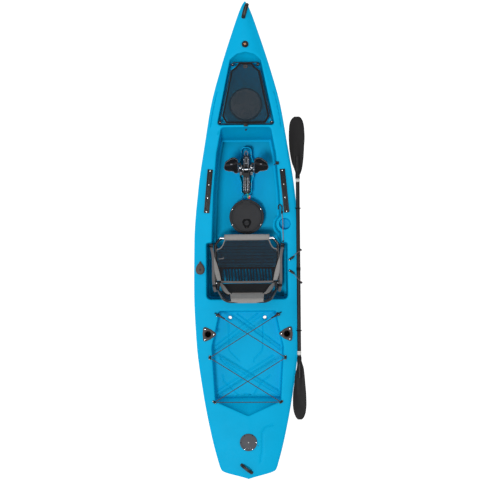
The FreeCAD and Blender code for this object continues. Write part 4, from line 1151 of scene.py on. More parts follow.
def make_handles():
    top = deck_height(0, 1750) + 4
    t = Build()
    line = smooth_line([(17, 1806, top - 2), (15, 1797, top + 12), (7, 1775, top + 22), (-4, 1738, top + 23),
                        (-11, 1712, top + 13), (-13, 1702, top - 2)], 7)
    t.add(sweep(line, [(-15, -2.5), (-13, -4), (13, -4), (15, -2.5), (15, 2.5), (12, 4.5), (-12, 4.5), (-15, 2.5)]),
          black_mat)
    middle = smooth_line([(9, 1784, top + 24.5), (2, 1758, top + 28), (-6, 1728, top + 25.5)], 8)
    t.add(sweep(middle, [(-4.5, -3), (4.5, -3), (4.5, 1.6), (3, 2.8), (-3, 2.8), (-4.5, 1.6)]), holder_mat)
    for x, y in ((17, 1806), (-13, 1702)):
        t.add(slab(oval(13, 12, 24, 2.4), -5, 3, 2), black_mat, at(x * 0.92, y + (4 if y < 1750 else -4), top))
        t.add(screw_shape(4, 2.4), steel_mat, at(x * 0.92, y + (4 if y < 1750 else -4), top + 3.4))
    top = deck_height(0, -1740)
    a, b = Vector((-56, -1720, 0)), Vector((26, -1784, 0))
    turn = math.degrees(math.atan2(b.y - a.y, b.x - a.x))
    length = (b - a).length
    where = at(a.x, a.y, top, turn)
    grip = smooth_line([(8, 0, 6), (18, 0, 24), (34, 0, 30), (length - 34, 0, 30), (length - 18, 0, 24),
                        (length - 8, 0, 6)], 7)
    t.add(sweep(grip, [(-11, -3), (-9, -5), (9, -5), (11, -3), (11, 2), (8, 5), (-8, 5), (-11, 2)]), black_mat,
          where)
    for x in (10, length - 10):
        t.add(slab(oval(17, 13, 28, 2.6), -3, 8, 3), black_mat, where @ moved(x, 0, 0))
        t.add(screw_shape(4, 2.4), steel_mat, where @ moved(x, 9, 7.6))
    for x in (30, 44, 58):
        t.add(sweep([(x, -9.5, 35.2), (x, 9.5, 35.2)], [(-1.6, -1), (1.6, -1), (1.6, 0.8), (-1.6, 0.8)]), black_mat,
              where)
    t.make("carry_handles_detailed", "hull", "black_plastic", ["carry_handles"])

    plug = Build()
    z = deck_height(0, 1498)
    plug.add(lathe([(0, -24), (18.2, -24), (18.2, 0), (25.5, 0), (25.5, 3.2), (23.5, 5.6), (20, 6.4), (17.6, 4.6),
                    (15, 4.0), (0, 4.0)], 40), black_mat, at(0, 1498, z))
    plug.add(lathe([(0, 3.5), (7.5, 3.5), (7.8, 5.2), (6.4, 7.4), (0, 8.0)], 24), tan_mat, at(0, 1498, z))
    for k in range(3):
        plug.add(block((-2.6, 4, 3.6), (2.6, 16, 8.2), 1.6), tan_mat if k == 1 else black_mat,
                 at(0, 1498, z, 120 * k - 40))
    plug.make("bow_plug_detailed", "hull", "black_plastic", ["bow_drain_plug"])


def make_rudder_cap():
    t = Build()
    z = deck_height(0, RUDDER_Y) + 0.5
    t.add(lathe([(0, 1), (60, 1), (66, 0), (66, 4.4), (64, 7.2), (60, 8.4), (55, 8.0), (52.5, 6.2), (49, 6.0),
                 (20, 7.6), (14, 8.2), (0, 8.2)], 72), cap_mat, at(0, RUDDER_Y, z))
    for k in range(6):
        a = math.radians(60 + 60 * k)
        t.add(screw_shape(3.6, 2.2), rubber_mat if k < 3 else steel_mat,
              at(59.5 * math.cos(a), RUDDER_Y + 59.5 * math.sin(a), z + 7.8))
    for a in (-110, -90, -70):
        t.add(screw_shape(2.6, 2), drive_grey_mat, at(44 * math.cos(math.radians(a)), RUDDER_Y
                                                      + 44 * math.sin(math.radians(a)), z + 6))
    t.add(lathe([(0, 7.4), (4.2, 7.4), (4.2, 9.6), (3.4, 10.4), (0, 10.6)], 20), white_mat, at(0, RUDDER_Y, z))
    t.add(lathe([(0, -1), (3.6, -1), (3.4, 1.4), (0, 2)], 16), black_mat,
          at(74, RUDDER_Y - 26, deck_height(74, RUDDER_Y - 26)))
    t.make("rudder_cap_detailed", "hull", "black_plastic", ["rudder_well_cap"])


def make_steering_grip():
    x, y = STEER
    z = deck_height(x, y) + 1
    half = [(0, 66), (5, 62), (9, 52), (20, 40), (30, 24), (35, 6), (34, -12), (27, -27), (14, -36), (0, -38)]
    outline = resample(half + [(-a, b) for a, b in half[-2:0:-1]], 4)
    outline = anticlockwise(outline)
    loops = []
    for inset, height in ((3.0, 7.4), (0.8, 8.2), (0, 10.5), (0.6, 14), (2.6, 17.6), (6, 20.2), (11, 21.8),
                          (16, 22.4)):
        loops.append([(a, b, height) for a, b in offset(outline, -inset)] if inset < 5 else
                     [(a * (1 - inset / 40), b * (1 - inset / 48), height) for a, b in outline])
    t = Build()
    t.add(stack(loops), holder_mat, at(x, y, z))
    t.add(sweep([(0, -30, 21.6), (0, 20, 22.6), (0, 52, 19)], [(-1.1, -1.5), (1.1, -1.5), (1.1, 1), (-1.1, 1)]),
          black_mat, at(x, y, z))
    t.add(lathe([(0, 20), (8, 20), (8, 23.4), (6.6, 24.4), (0, 24.4)], 24), black_mat, at(x, y, z))
    t.make("steering_grip", "steering", "black_plastic", ["steering_handle"])


def cover_z(y):
    return deck_height(150, y) - 16


COVER_HALF = [(47, 1363), (60, 1349), (74, 1330), (107, 1304), (180, 955), (170, 934), (158, 916), (150, 902)]


def make_cover():
    outline = both(COVER_HALF)
    loop = anticlockwise(resample(outline, 12))
    def height(x, y):
        half = np.interp(y, [902, 955, 1304, 1363], [150, 180, 107, 47])
        return deck_z(np.full(np.shape(x), 150.0), y) - 16 - 5 * (1 - np.clip(np.abs(x) / half, 0, 1) ** 2)
    t = Build()
    t.add(fill(loop, [], 16, height), cover_mesh_mat)
    sheet = t.make("bow_cover", "hull", "mesh_fabric", ["front_cover_mesh"], outward=False)
    give_wall(sheet, 0.9, 0)
    hem = Build()
    points = [(x, y, float(height(np.array([x]), np.array([y]))[0]) + 0.4) for x, y in offset(loop, -5)]
    hem.add(sweep(points, [(-7, -1.2), (-6, -1.9), (6, -1.9), (7, -1.2), (7, 1.2), (6, 1.9), (-6, 1.9), (-7, 1.2)],
                  closed=True), hem_mat)
    for shift in (-3.4, 3.4):
        hem.add(sweep([(x, y, float(height(np.array([x]), np.array([y]))[0]) + 2.3) for x,
                       y in offset(loop, -5 + shift)],
                      tape(0.5, 0.4), closed=True), hem_mat)
    gz = cover_z(1338) + 1
    hem.add(lathe([(5, -2), (13, -2), (14.4, 0), (13, 2.4), (9.5, 3.0), (6.4, 2.0)], 28, closed=True), holder_mat,
            at(0, 1336, gz - 4) @ Matrix.Scale(1.15, 4, (1, 0, 0)))
    hem.add(slab(rounded([(-17, 872), (17, 872), (14, 898), (-14, 898)], 4, 3), deck_height(0, 884) - 2,
                 deck_height(0, 884) + 6, 1.4), black_mat)
    hem = hem.make("bow_cover_hem", "hull", "mesh_fabric")
    # painted shade: a black disc on the cockpit's front wall stands in for the dark inside of a small hole
    hole_shade_disc = Build()
    hole_shade_disc.add(lathe([(0, -3), (7, -3), (7, 0), (5, 2.4), (0, 3)], 20), black_mat,
               at(0, 849, deck_height(0, 870) - 16))
    hole_shade_disc.make("cockpit_hole_shade", "hull", "black_plastic")


def straight_cord(name, a, b, radius, mat, body, dip=2.0, node=None):
    """A stretched cord from a to b with the little dip of its own weight."""
    mid = [(p + q) / 2 for p, q in zip(a, b)]
    mid[2] -= dip
    piece = nurbs(name, [a, mid, b], radius, mat, body)
    if node:
        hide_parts(node)
    return piece


def make_cords():
    z = cover_z
    straight_cord("bow_cover_cord_cross", (-96, 1366, z(1372) + 4), (96, 1366, z(1372) + 4), 3, cord_mat, "hull",
                  1, "front_cover_bungee")
    straight_cord("bow_cover_cord_rear", (-196, 895, z(895) + 2), (196, 895, z(895) + 2), 3, cord_mat, "hull",
                  1)
    for side, name in ((1, "starboard"), (-1, "port")):
        straight_cord("bow_cover_cord_" + name, (side * 112, 1306, z(1306) + 4), (side * 197, 926, z(926) + 4), 3,
                      cord_mat, "hull", 2)
    stops = BUNGEE_EYES
    for i, (p, q) in enumerate(zip(stops, stops[1:])):
        lift = 14 + 8 * (i % 2)
        a = Vector((p[0], p[1], deck_height(*p) + EYE_RISE + lift))
        b = Vector((q[0], q[1], deck_height(*q) + EYE_RISE + lift))
        d = (b - a).normalized()
        start, stop = a + d * (46 if i == 0 else 12), b - d * (46 if i == 4 else 12)
        start.z, stop.z = start.z - (10 if i else 4), stop.z - (4 if i == 4 else 10)
        straight_cord("cargo_cord_%d" % (i + 1), tuple(start), tuple(stop), 3, bungee_mat, "hull", -4
                      + 2 * (i % 2), "cargo_bungee")
    paddle_top = 369
    cleat = deck_height(341, -200) + 12
    front = [(358, -126, cleat), (372, -114, cleat + 24), (386, -102, paddle_top), (404, -90, paddle_top),
             (419, -82, paddle_top - 22), (420, -79, 318), (416, -79, 301)]
    rear = [(358, -264, cleat), (372, -280, cleat + 24), (387, -298, paddle_top), (405, -316, paddle_top),
            (421, -328, paddle_top - 22), (423, -331, 318), (419, -331, 301)]
    for name, route, length in (("front", front, 0.148), ("rear", rear, 0.160)):
        piece = nurbs("paddle_keeper_" + name, route, 2, leash_mat, "hull")
        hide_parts("paddle_keeper_cord_" + name)
    zl = deck_height(262, 100) + 9
    leash = [(272, 204, zl), (277, 160, zl + 2), (279, 115, zl + 1), (278, 75, zl + 2), (280, 35, zl + 1),
             (280, -5, zl)]
    piece = nurbs("leash_line", leash, 3, leash_mat, "hull")
    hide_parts("leash_cord")
    tether = [(-4, 373, 122), (-24, 366, 119), (-34, 340, 117), (-22, 332, 124)]
    piece = nurbs("drive_tether_line", tether, 2.2, cord_mat, "hull")
    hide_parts("drive_tether")


# ---------------------------------------------------------------- seat
SEAT_TUBE = 11.0
PIVOT_Y, PIVOT_Z = -332.0, 246.0


def pan_half():
    """The seat cloth's starboard edge: a scallop round the frame's front corner, then along the side tube."""
    scallop = [(168, 6), (176, -8), (184, -28), (197, -50), (214, -64), (233, -68)]
    return [(0, 6)] + [tuple(p[:2]) for p in smooth_line([(x, y, 0) for x, y in scallop],
                                                         5)] + [(238, -86), (238, -140), (232, -190), (222, -214),
                                                                (0, -216)]


def pan_height(x, y):
    """The cloth hangs a little between its side tubes and rises to the front bar."""
    across = np.clip(1 - (np.abs(x) / 240) ** 2, 0, 1)
    along = np.clip((8 - y) / 60, 0, 1) * np.clip((y + 225) / 40, 0.3, 1)
    return 226 - 7 * across * along + 4 * np.clip((y + 20) / 30, 0, 1)


def band(points, heights, width, thick=2.2):
    """A flat binding tape along an open line of (x, y) points at the given heights."""
    return sweep([(x, y, z) for (x, y), z in zip(points, heights)], tape(width / 2, thick / 2))


def make_seat():
    outline = both(pan_half())
    loop = anticlockwise(resample(outline, 10))
    pan = Build()
    pan.add(fill(loop, [], 12, pan_height), seat_mesh_mat)
    pan = pan.make("seat_pan", "seat", "mesh_fabric", ["seat_pan_mesh"], outward=False)
    give_wall(pan, 1.2, 0)

    trim = Build()
    def zed(points):
        p = np.array(points)
        return pan_height(p[:, 0], p[:, 1]) + 0.6
    for side in (-1, 1):
        edge = [(side * x, y) for x, y in pan_half()[1:-4]]
        trim.add(band(edge, zed(edge), 7, 3.2), grey_edge_mat)
        under_tube = [(side * 236, -70), (side * 236, -140), (side * 229, -190), (side * 220, -214)]
        trim.add(band(under_tube, zed(under_tube), 9, 3), hem_mat)
    rear = [(x, -214) for x in np.linspace(-220, 220, 24)]
    trim.add(band(rear, zed(rear), 16, 3.4), hem_mat)
    for y in (-18, -92):
        row = [(x, y) for x in np.linspace(-168 if y > -50 else -230, 168 if y > -50 else 230, 26)]
        trim.add(band(row, zed(row) + 0.4, 1.4, 1.6), hem_mat)
    tab = [(-222, -142), (-184, -140), (-183, -127)]
    trim.add(band(tab, zed(tab) + 1, 4, 2.4), grey_edge_mat)
    # cross webbing sewn under the cloth shows as faint rows
    for y in (-45, -70, -120, -146, -172, -196):
        row = [(x, y) for x in np.linspace(-205, 205, 22)]
        trim.add(band(row, zed(row) - 2.2, 3.2, 1.4), lacing_mat)
    trim = trim.make("seat_pan_binding", "seat", "grey_fabric")

    lacing = Build()
    count = 17
    for i in range(count):
        x = -192 + 384 * i / (count - 1)
        lean = 7 + 4 * math.sin(i * 1.7)
        path = smooth_line([(x, -212, 222), (x + lean * 0.4, -250, 217), (x + lean, -296, 219),
                            (x + lean, -316, 226), (x + lean, -331, 222)], 5)
        lacing.add(sweep(path, tape(6.5, 0.8)), lacing_mat)
    for side in (-1, 1):
        edge = smooth_line([(side * 204, -214, 224), (side * 206, -260, 221), (side * 200, -318, 226)], 6)
        lacing.add(sweep(edge, tape(10, 1.2)), hem_mat)
    backing = [[(x, y, z) for x in np.linspace(-200, 200, 21)] for y,
               z in ((-210, 220.5), (-236, 214), (-268, 212), (-298, 215), (-318, 223))]
    under = [[(x, y, z - 0.8) for x, y, z in row] for row in backing]
    lacing.add(stack([a + b[::-1] for a, b in zip(backing, under)]), lacing_mesh_mat)
    lacing.make("seat_lacing", "seat", "mesh_fabric")
    bar = Build()
    bar.add(sweep([(-204, -322, 229), (-60, -324, 229.5), (60, -324, 229.5), (204, -322, 229)],
                  [(-8, -3), (-6.5, -4.5), (6.5, -4.5), (8, -3), (8, 3), (6.5, 4.5), (-6.5, 4.5), (-8, 3)]),
                  strap_mat)
    bar.make("seat_rear_hem", "seat", "grey_fabric")

    # grey side gussets between pan and back
    gusset = Build()
    for side in (-1, 1):
        outer = smooth_line([(side * 256, -126, 238), (side * 256, -180, 239), (side * 250, -250, 238),
                             (side * 234, -310, 232)], 6)
        inner = smooth_line([(side * 250, -130, 234), (side * 232, -180, 229), (side * 212, -250, 228),
                             (side * 200, -312, 229)], 6)
        loops = []
        for a, b in zip(outer, inner):
            a, b = np.array(a), np.array(b)
            m = (a + b) / 2 + np.array((0, 0, 4.0))
            d = np.array((0, 0, 1.8))
            loops.append([tuple(a - d), tuple(m - d), tuple(b - d), tuple(b + d), tuple(m + d), tuple(a + d)])
        gusset.add(stack(loops), sleeve_mat)
        gusset.add(sweep([p + np.array((0, 0, 2.4)) for p in map(np.array, inner)], tape(2.4, 1)), hem_mat)
    gusset.make("seat_gussets", "seat", "grey_fabric")

    ends = Build()
    for side in (-1, 1):        # painted highlight: bands of bright alloy by the front sleeve stand in for glints on the tube's front corners
        ends.add(sweep(smooth_line([(side * 177, 18, 227), (side * 196, 18, 227), (side * 206, 18, 227),
                                    (side * 213, 11, 227)], 4), SEAT_TUBE + 0.5), glint_alloy_mat)
    ends.make("seat_tube_glint_bands", "seat", "seat_alloy")
    make_front_roll()
    straps = Build()
    for side in (-1, 1):
        path = smooth_line([(side * 280, -34, 204), (side * 274, -64, 224), (side * 264, -118, 236),
                            (side * 262, -220, 239), (side * 261, -320, 239), (side * 254, -376, 236),
                            (side * 246, -398, 224)], 6)
        straps.add(sweep(path, tape(11, 1.1)), strap_mat)
        for y, x in ((-48, 277), (-352, 258)):
            straps.add(block((-14, -9, -3), (14, 9, 4.5), 2), black_mat,
                       at(side * x, y, 216 if y > -100 else 240, 0))
        anchor = at(side * 278, -34, 190)
        straps.add(slab(rounded([(-16, -14), (16, -14), (12, 14), (-12, 14)], 5, 4), -4, 12, 2), black_mat, anchor)
    straps.make("seat_side_webbing", "seat", "grey_fabric", ["seat_side_straps"])


def make_front_roll():
    """Padded cloth wrapped round the seat's front tube and reaching back on to the pan."""
    half, y, z, radius, cuts, lean = 176.0, 18.0, 227.0, 13.5, 26, 7
    loops = []
    for i in range(cuts + 1):
        u = abs(2 * i / cuts - 1)
        r = radius * (1 - 0.10 * u ** 6) * (1 + 0.015 * math.sin(i * 2.1))
        turns = [2 * math.pi * k / 20 for k in range(20)]
        loops.append([(-half + 2 * half * i / cuts, y + 1.75 * r * math.cos(a) + lean, z + r * math.sin(a) + 1)
                      for a in turns])
    t = Build()
    t.add(stack(loops), sleeve_mat)
    for x in (4 - half, half - 4):
        hoop = [(x, y + lean + (1.7 * radius + 0.4) * math.cos(a), z + (1.02 * radius + 0.6) * math.sin(a))
                for a in np.linspace(0, 2 * math.pi, 25)[:-1]]
        t.add(sweep(hoop, tape(3.4, 0.9), closed=True, up=(1, 0, 0)), grey_edge_mat)
    seam = [(x, y + lean - 0.9 * radius, z + 0.62 * radius) for x in np.linspace(3 - half, half - 3, 20)]
    t.add(sweep(seam, [(-1.0, -0.7), (1.0, -0.7), (1.0, 0.9), (-1.0, 0.9)]), hem_mat)
    t.make("seat_front_roll", "seat", "grey_fabric", ["seat_front_sleeve"], angle=50)


def make_seat_back():
    lean = math.atan2(-452 - PIVOT_Y, 520 - PIVOT_Z)
    def place(x, up, off=0.0):
        return (x, PIVOT_Y - 6 + math.sin(lean) * up + math.cos(lean) * off, PIVOT_Z
                + math.cos(lean) * up - math.sin(lean) * off)
    t = Build()
    rows, cols = 22, 30
    loops = []
    for i in range(rows + 1):
        up = 3 + (196 - 3) * i / rows
        half = np.interp(up, [3, 60, 150, 196], [186, 196, 176, 148])
        line = []
        for j in range(cols + 1):
            u = 2 * j / cols - 1
            line.append(place(u * half, up, -11 * (1 - u * u) * math.sin(math.pi * min(1, up / 206))))
        loops.append(line)
    t.add(stack(loops, closed_ring=False, caps=False), back_mesh_mat)
    back = t.make("seat_back_cloth", "seat_back", "mesh_fabric", ["seat_back_mesh"], outward=False)
    give_wall(back, 2.2, 0)
    trim = Build()
    port, starboard = [loop[0] for loop in loops], [loop[-1] for loop in loops[-2::-1]]
    edge = port + loops[-1][1:] + starboard + loops[0][-2:0:-1]
    trim.add(sweep(edge, tape(7, 2.0), closed=True, up=(0, math.cos(lean), -math.sin(lean))), hem_mat)
    # corner patches that tie the cloth to the frame
    for side in (-1, 1):
        ribbon = [place(side * 130, u, -14) for u in (20, 80, 140, 190)]
        trim.add(sweep(smooth_line(ribbon, 5), tape(10, 0.9)), dark_strap_mat)
        corner = [[place(side * x, up, -3) for x in np.linspace(near, far, 7)]
                  for up, near, far in ((120, 188, 214), (178, 156, 213), (214, 132, 206), (250, 126, 196),
                                        (284, 124, 184), (302, 126, 170))]
        behind = [[(x, y - 0.9, z) for x, y, z in row] for row in corner]
        trim.add(stack([a + b[::-1] for a, b in zip(corner, behind)]), corner_mesh_mat)
    trim = trim.make("seat_back_binding", "seat_back", "mesh_fabric")
    wings = Build()
    for side in (-1, 1):        # grey side panels that run from the pivots up to the padded top
        outer = [place(side * x, u, 6) for x, u in ((226, 4), (206, 60), (190, 120), (168, 176), (140, 206))]
        inner = [place(side * x, u, 8) for x, u in ((196, 6), (172, 60), (154, 120), (136, 176), (118, 206))]
        loops = []
        for a, b in zip(smooth_line(outer, 5), smooth_line(inner, 5)):
            a, b = np.array(a, float), np.array(b, float)
            d = np.array((0, 1.1, 0.5))
            m = (a + b) / 2 + d * 3
            loops.append([tuple(a - d), tuple(m - d), tuple(b - d), tuple(b + d), tuple(m + d), tuple(a + d)])
        wings.add(stack(loops), sleeve_mat)
        wings.add(sweep(smooth_line([tuple(np.array(p) + (0, 2, 1)) for p in inner], 5), tape(3, 1)), hem_mat)
    wings.make("seat_back_wings", "seat_back", "grey_fabric")
    yoke = Build()
    loops = []
    for i in range(31):
        u = i / 15 - 1
        x = 122 * u
        thin = 1 - 0.12 * abs(u) ** 5
        ring = []
        for up, off in ((184, 5), (200, 9), (240, 12), (290, 15), (312, 19), (326, 14), (332, 0), (326, -14),
                        (312, -18), (292, -14), (240, 1), (200, 1), (184, 1)):
            ring.append(place(x * (1 + 0.07 * (312 - up) / 128), up + 3 * (1 - u * u) - 3, off * thin))
        loops.append(ring)
    yoke.add(stack(loops), sleeve_mat)
    for u in (188, 286):
        yoke.add(sweep([place(x, u, 13 if u > 200 else 7.5) for x in np.linspace(-118, 118, 20)],
                       [(-1.4, -0.8), (1.4, -0.8), (1.4, 0.9), (-1.4, 0.9)]), grey_edge_mat)
    yoke = yoke.make("seat_top_roll", "seat_back", "grey_fabric", ["seat_top_sleeve"], angle=50)


# ---------------------------------------------------------------- paddle and side fittings
PADDLE_X, PADDLE_Z = 395.0, 348.0

# each blade's plan: distances from its root, then its inboard and outboard half-widths there
FRONT_BLADE = ([0, 6, 45, 96, 154, 218, 295, 378, 417, 442, 454, 459],
               [15, 15, 24, 43, 55, 63, 66, 62, 54, 38, 24, 12],
               [15, 18, 33, 42, 48, 52, 57, 53, 45, 33, 19, 9])
REAR_BLADE = ([0, 30, 60, 102, 188, 273, 340, 393, 425, 444, 456], [15, 17, 20, 32, 42, 52, 53, 47, 37, 27, 15],
              [15, 24, 33, 38, 45, 51, 52, 47, 38, 28, 15])


def blade_shape(root, tip, plan):
    """A spooned, lopsided blade: a crowned spine at the neck, thin edges and a slight scoop towards the tip."""
    way = 1 if tip > root else -1
    span = abs(tip - root)
    inboard, outboard = monotone(plan[0], plan[1]), monotone(plan[0], plan[2])
    loops = []
    for s in list(np.linspace(0, 400, 24)) + [415, 428, 438, 445, 450, 454, 455.8]:
        low_x, high_x = -float(inboard(s)), float(outboard(s))
        spine = 11 * max(0.0, 1 - s / 300) ** 1.2
        scoop = 9 * math.sin(math.pi * min(1, s / span)) ** 1.2
        def crown(x):
            return spine * max(0, 1 - (x / 17) ** 2) ** 0.5
        upper, lower = [], []
        for k in range(13):
            u = -1 + 2 * k / 12
            x = low_x + (high_x - low_x) * (u + 1) / 2
            height = PADDLE_Z + scoop * (u * u - 0.45)
            upper.append((PADDLE_X + x, root + way * s, height + 2.4 * (1 - abs(u) ** 3) + crown(x)))
            lower.append((PADDLE_X + x, root + way * s, height - 2.0 * (1 - abs(u) ** 3) - 0.8 * crown(x)))
        loops.append(upper + lower[-2:0:-1])
    return stack(loops)


def make_paddle():
    for name, body, root, tip, ring_y, band_y, plan in (("front", "paddle_fore", 492, 951, 236, 458, FRONT_BLADE),
                                                        ("rear", "paddle_aft", -923, -1379, -703, -871,
                                                         REAR_BLADE)):
        way = 1 if tip > root else -1
        t = Build()
        t.add(blade_shape(root, tip, plan), paddle_mat)
        neck = [(14.9, -26), (17.0, -24), (17.6, -10), (17.4, 10), (16.0, 26), (13.5, 40), (9, 52)]
        t.add(lathe([(0, -26)] + neck + [(0, 52)], 28), paddle_mat,
              turned("X", -90 * way, (PADDLE_X, root, PADDLE_Z)))
        for side in (-1, 1):
            rib = smooth_line([(PADDLE_X + side * 9, root + way * 60, PADDLE_Z + 5.5),
                               (PADDLE_X + side * 15, root + way * 160, PADDLE_Z + 0.5),
                               (PADDLE_X + side * 17, root + way * 300, PADDLE_Z - 2.4)], 8)
            t.add(sweep(rib, [(-2.2, -1.6), (2.2, -1.6), (1.2, 1.1), (-1.2, 1.1)]), paddle_mat)
        t.make("paddle_blade_%s_spooned" % name, body, "paddle_plastic", ["paddle_blade_" + name], angle=50)
        t = Build()
        t.add(lathe([(15.05, -4), (17, -4.6), (19.5, -1.4), (24, 2.2), (24, 3.6), (21.6, 3.8), (18.6, 1.8),
                     (17.4, 5), (15.05, 5)], 36, closed=True), rubber_mat,
              turned("X", -90, (PADDLE_X, ring_y + 3.5, PADDLE_Z)))
        t.make("drip_ring_" + name, body, "paddle_plastic", ["paddle_drip_ring_" + name])
        t = Build()
        t.add(lathe([(15.05, -15), (15.6, -14.6), (15.7, 14.4), (15.05, 15)], 36, closed=True), white_mat,
              turned("X", -90, (PADDLE_X, band_y, PADDLE_Z)))
        for shift in (-9, 3):
            t.add(lathe([(15.6, -1), (16.0, -0.8), (16.0, 0.8), (15.6, 1)], 36, closed=True), holder_mat,
                  turned("X", -90, (PADDLE_X, band_y + shift, PADDLE_Z)))
        t.make("paddle_band_" + name, body, "paddle_plastic")
    t = Build()
    t.add(lathe([(15.05, -13), (16.6, -12), (16.6, 11), (15.05, 12)], 32, closed=True), rubber_mat,
          turned("X", -90, (PADDLE_X, -226, PADDLE_Z)))
    t.make("paddle_joint_collar", "paddle_aft", "paddle_plastic")


def make_side_fittings():
    t = Build()
    for y, turn in ((-144, 35), (-246, -35)):
        z = deck_height(341, y) + 0.8
        where = at(341, y, z, turn)
        t.add(slab(rounded([(-24, -8), (12, -10), (24, -5), (24, 5), (12, 10), (-24, 8)], 5, 4), -2, 5, 2),
              black_mat, where)
        t.add(sweep(smooth_line([(-14, 0, 4), (-6, 0, 10), (8, 0, 13), (22, 0, 11), (27, 0, 5)], 5),
                    [(-6, -2.4), (6, -2.4), (6, 2), (4, 3), (-4, 3), (-6, 2)]), black_mat, where)
        t.add(screw_shape(3.6, 2.2), steel_mat, where @ moved(-15, 0, 5))
    for y in (-79, -331):
        x = float(half_at(y))
        t.add(block((-2, -9, 282), (12, 9, 300), 3), black_mat, at(x + 0.6, y, 0))
        t.add(sweep(smooth_line([(x + 6, y - 5, 296), (x + 14, y - 5, 303), (x + 14, y + 5, 303),
                                 (x + 6, y + 5, 296)], 5), 2.2), black_mat)
    z = deck_height(236, 591)
    t.add(slab(rounded([(-14, -9), (12, -12), (16, 6), (-8, 10)], 5, 4), -1, 8, 2.4), black_mat, at(238, 590, z))
    t.add(lathe([(0, 6), (8, 6), (9, 9), (8.4, 14), (6, 16.4), (0, 17)], 24), black_mat, at(244, 594, z))
    t.add(lathe([(0, 4), (6, 4), (6.6, 7), (5, 10), (0, 10.6)], 20), black_mat, at(231, 598, z))
    t.add(sweep(smooth_line([(236, 588, z + 6), (226, 583, z + 8), (217, 580, z + 5), (212, 574, z + 3)], 5), 3.4),
          black_mat)
    t.make("deck_cleats_detailed", "hull", "black_plastic", ["deck_cleats"])

    t = Build()
    z = deck_height(262, 240) + 9
    hook = [(246, 240, z), (244, 260, z), (259, 270, z), (272, 254, z), (271, 226, z), (272, 206, z)]
    t.add(sweep(smooth_line(hook, 8), 4.6), black_mat)
    t.add(lathe([(0, -11), (6.4, -10), (7.2, -4), (7.2, 8), (5.6, 12), (0, 12.4)], 20), black_mat,
          turned("X", 90, (272, 212, z)))
    t.add(lathe([(0, -5.4), (5.6, -5), (5.6, 5), (0, 5.4)], 16), black_mat, turned("X", 90, (245, 238, z)))
    t.add(lathe([(0, -9), (6, -9), (7, -4), (5, 3), (3.4, 4), (0, 4)], 20), black_mat, at(280, -12, z))
    t.add(slab(rounded([(5, 336), (19, 334), (22, 350), (14, 362), (6, 358)], 4, 3), 117, 127.6, 2.4), green_mat)
    t.add(sweep(smooth_line([(12, 358, 123), (9, 370, 124), (2, 378, 124)], 5), tape(3, 1.4)), green_mat)
    tag = [(14, 334), (24, 330), (31, 342), (30, 356), (20, 358)]
    t.add(slab(rounded(tag, 3, 3), 128.8, 131.2, 0.9), red_mat)
    t.add(lathe([(2.2, -0.6), (4.4, -0.6), (4.4, 0.8), (2.2, 0.8)], 18, closed=True), steel_mat, at(22, 351, 131.4))
    t.make("clips_and_tags", "hull", "black_plastic", ["leash_fittings"])


# ---------------------------------------------------------------- pedal drive
DRIVE_Y, DRIVE_Z, PEDAL_Z = 560.0, 168.0, 352.0


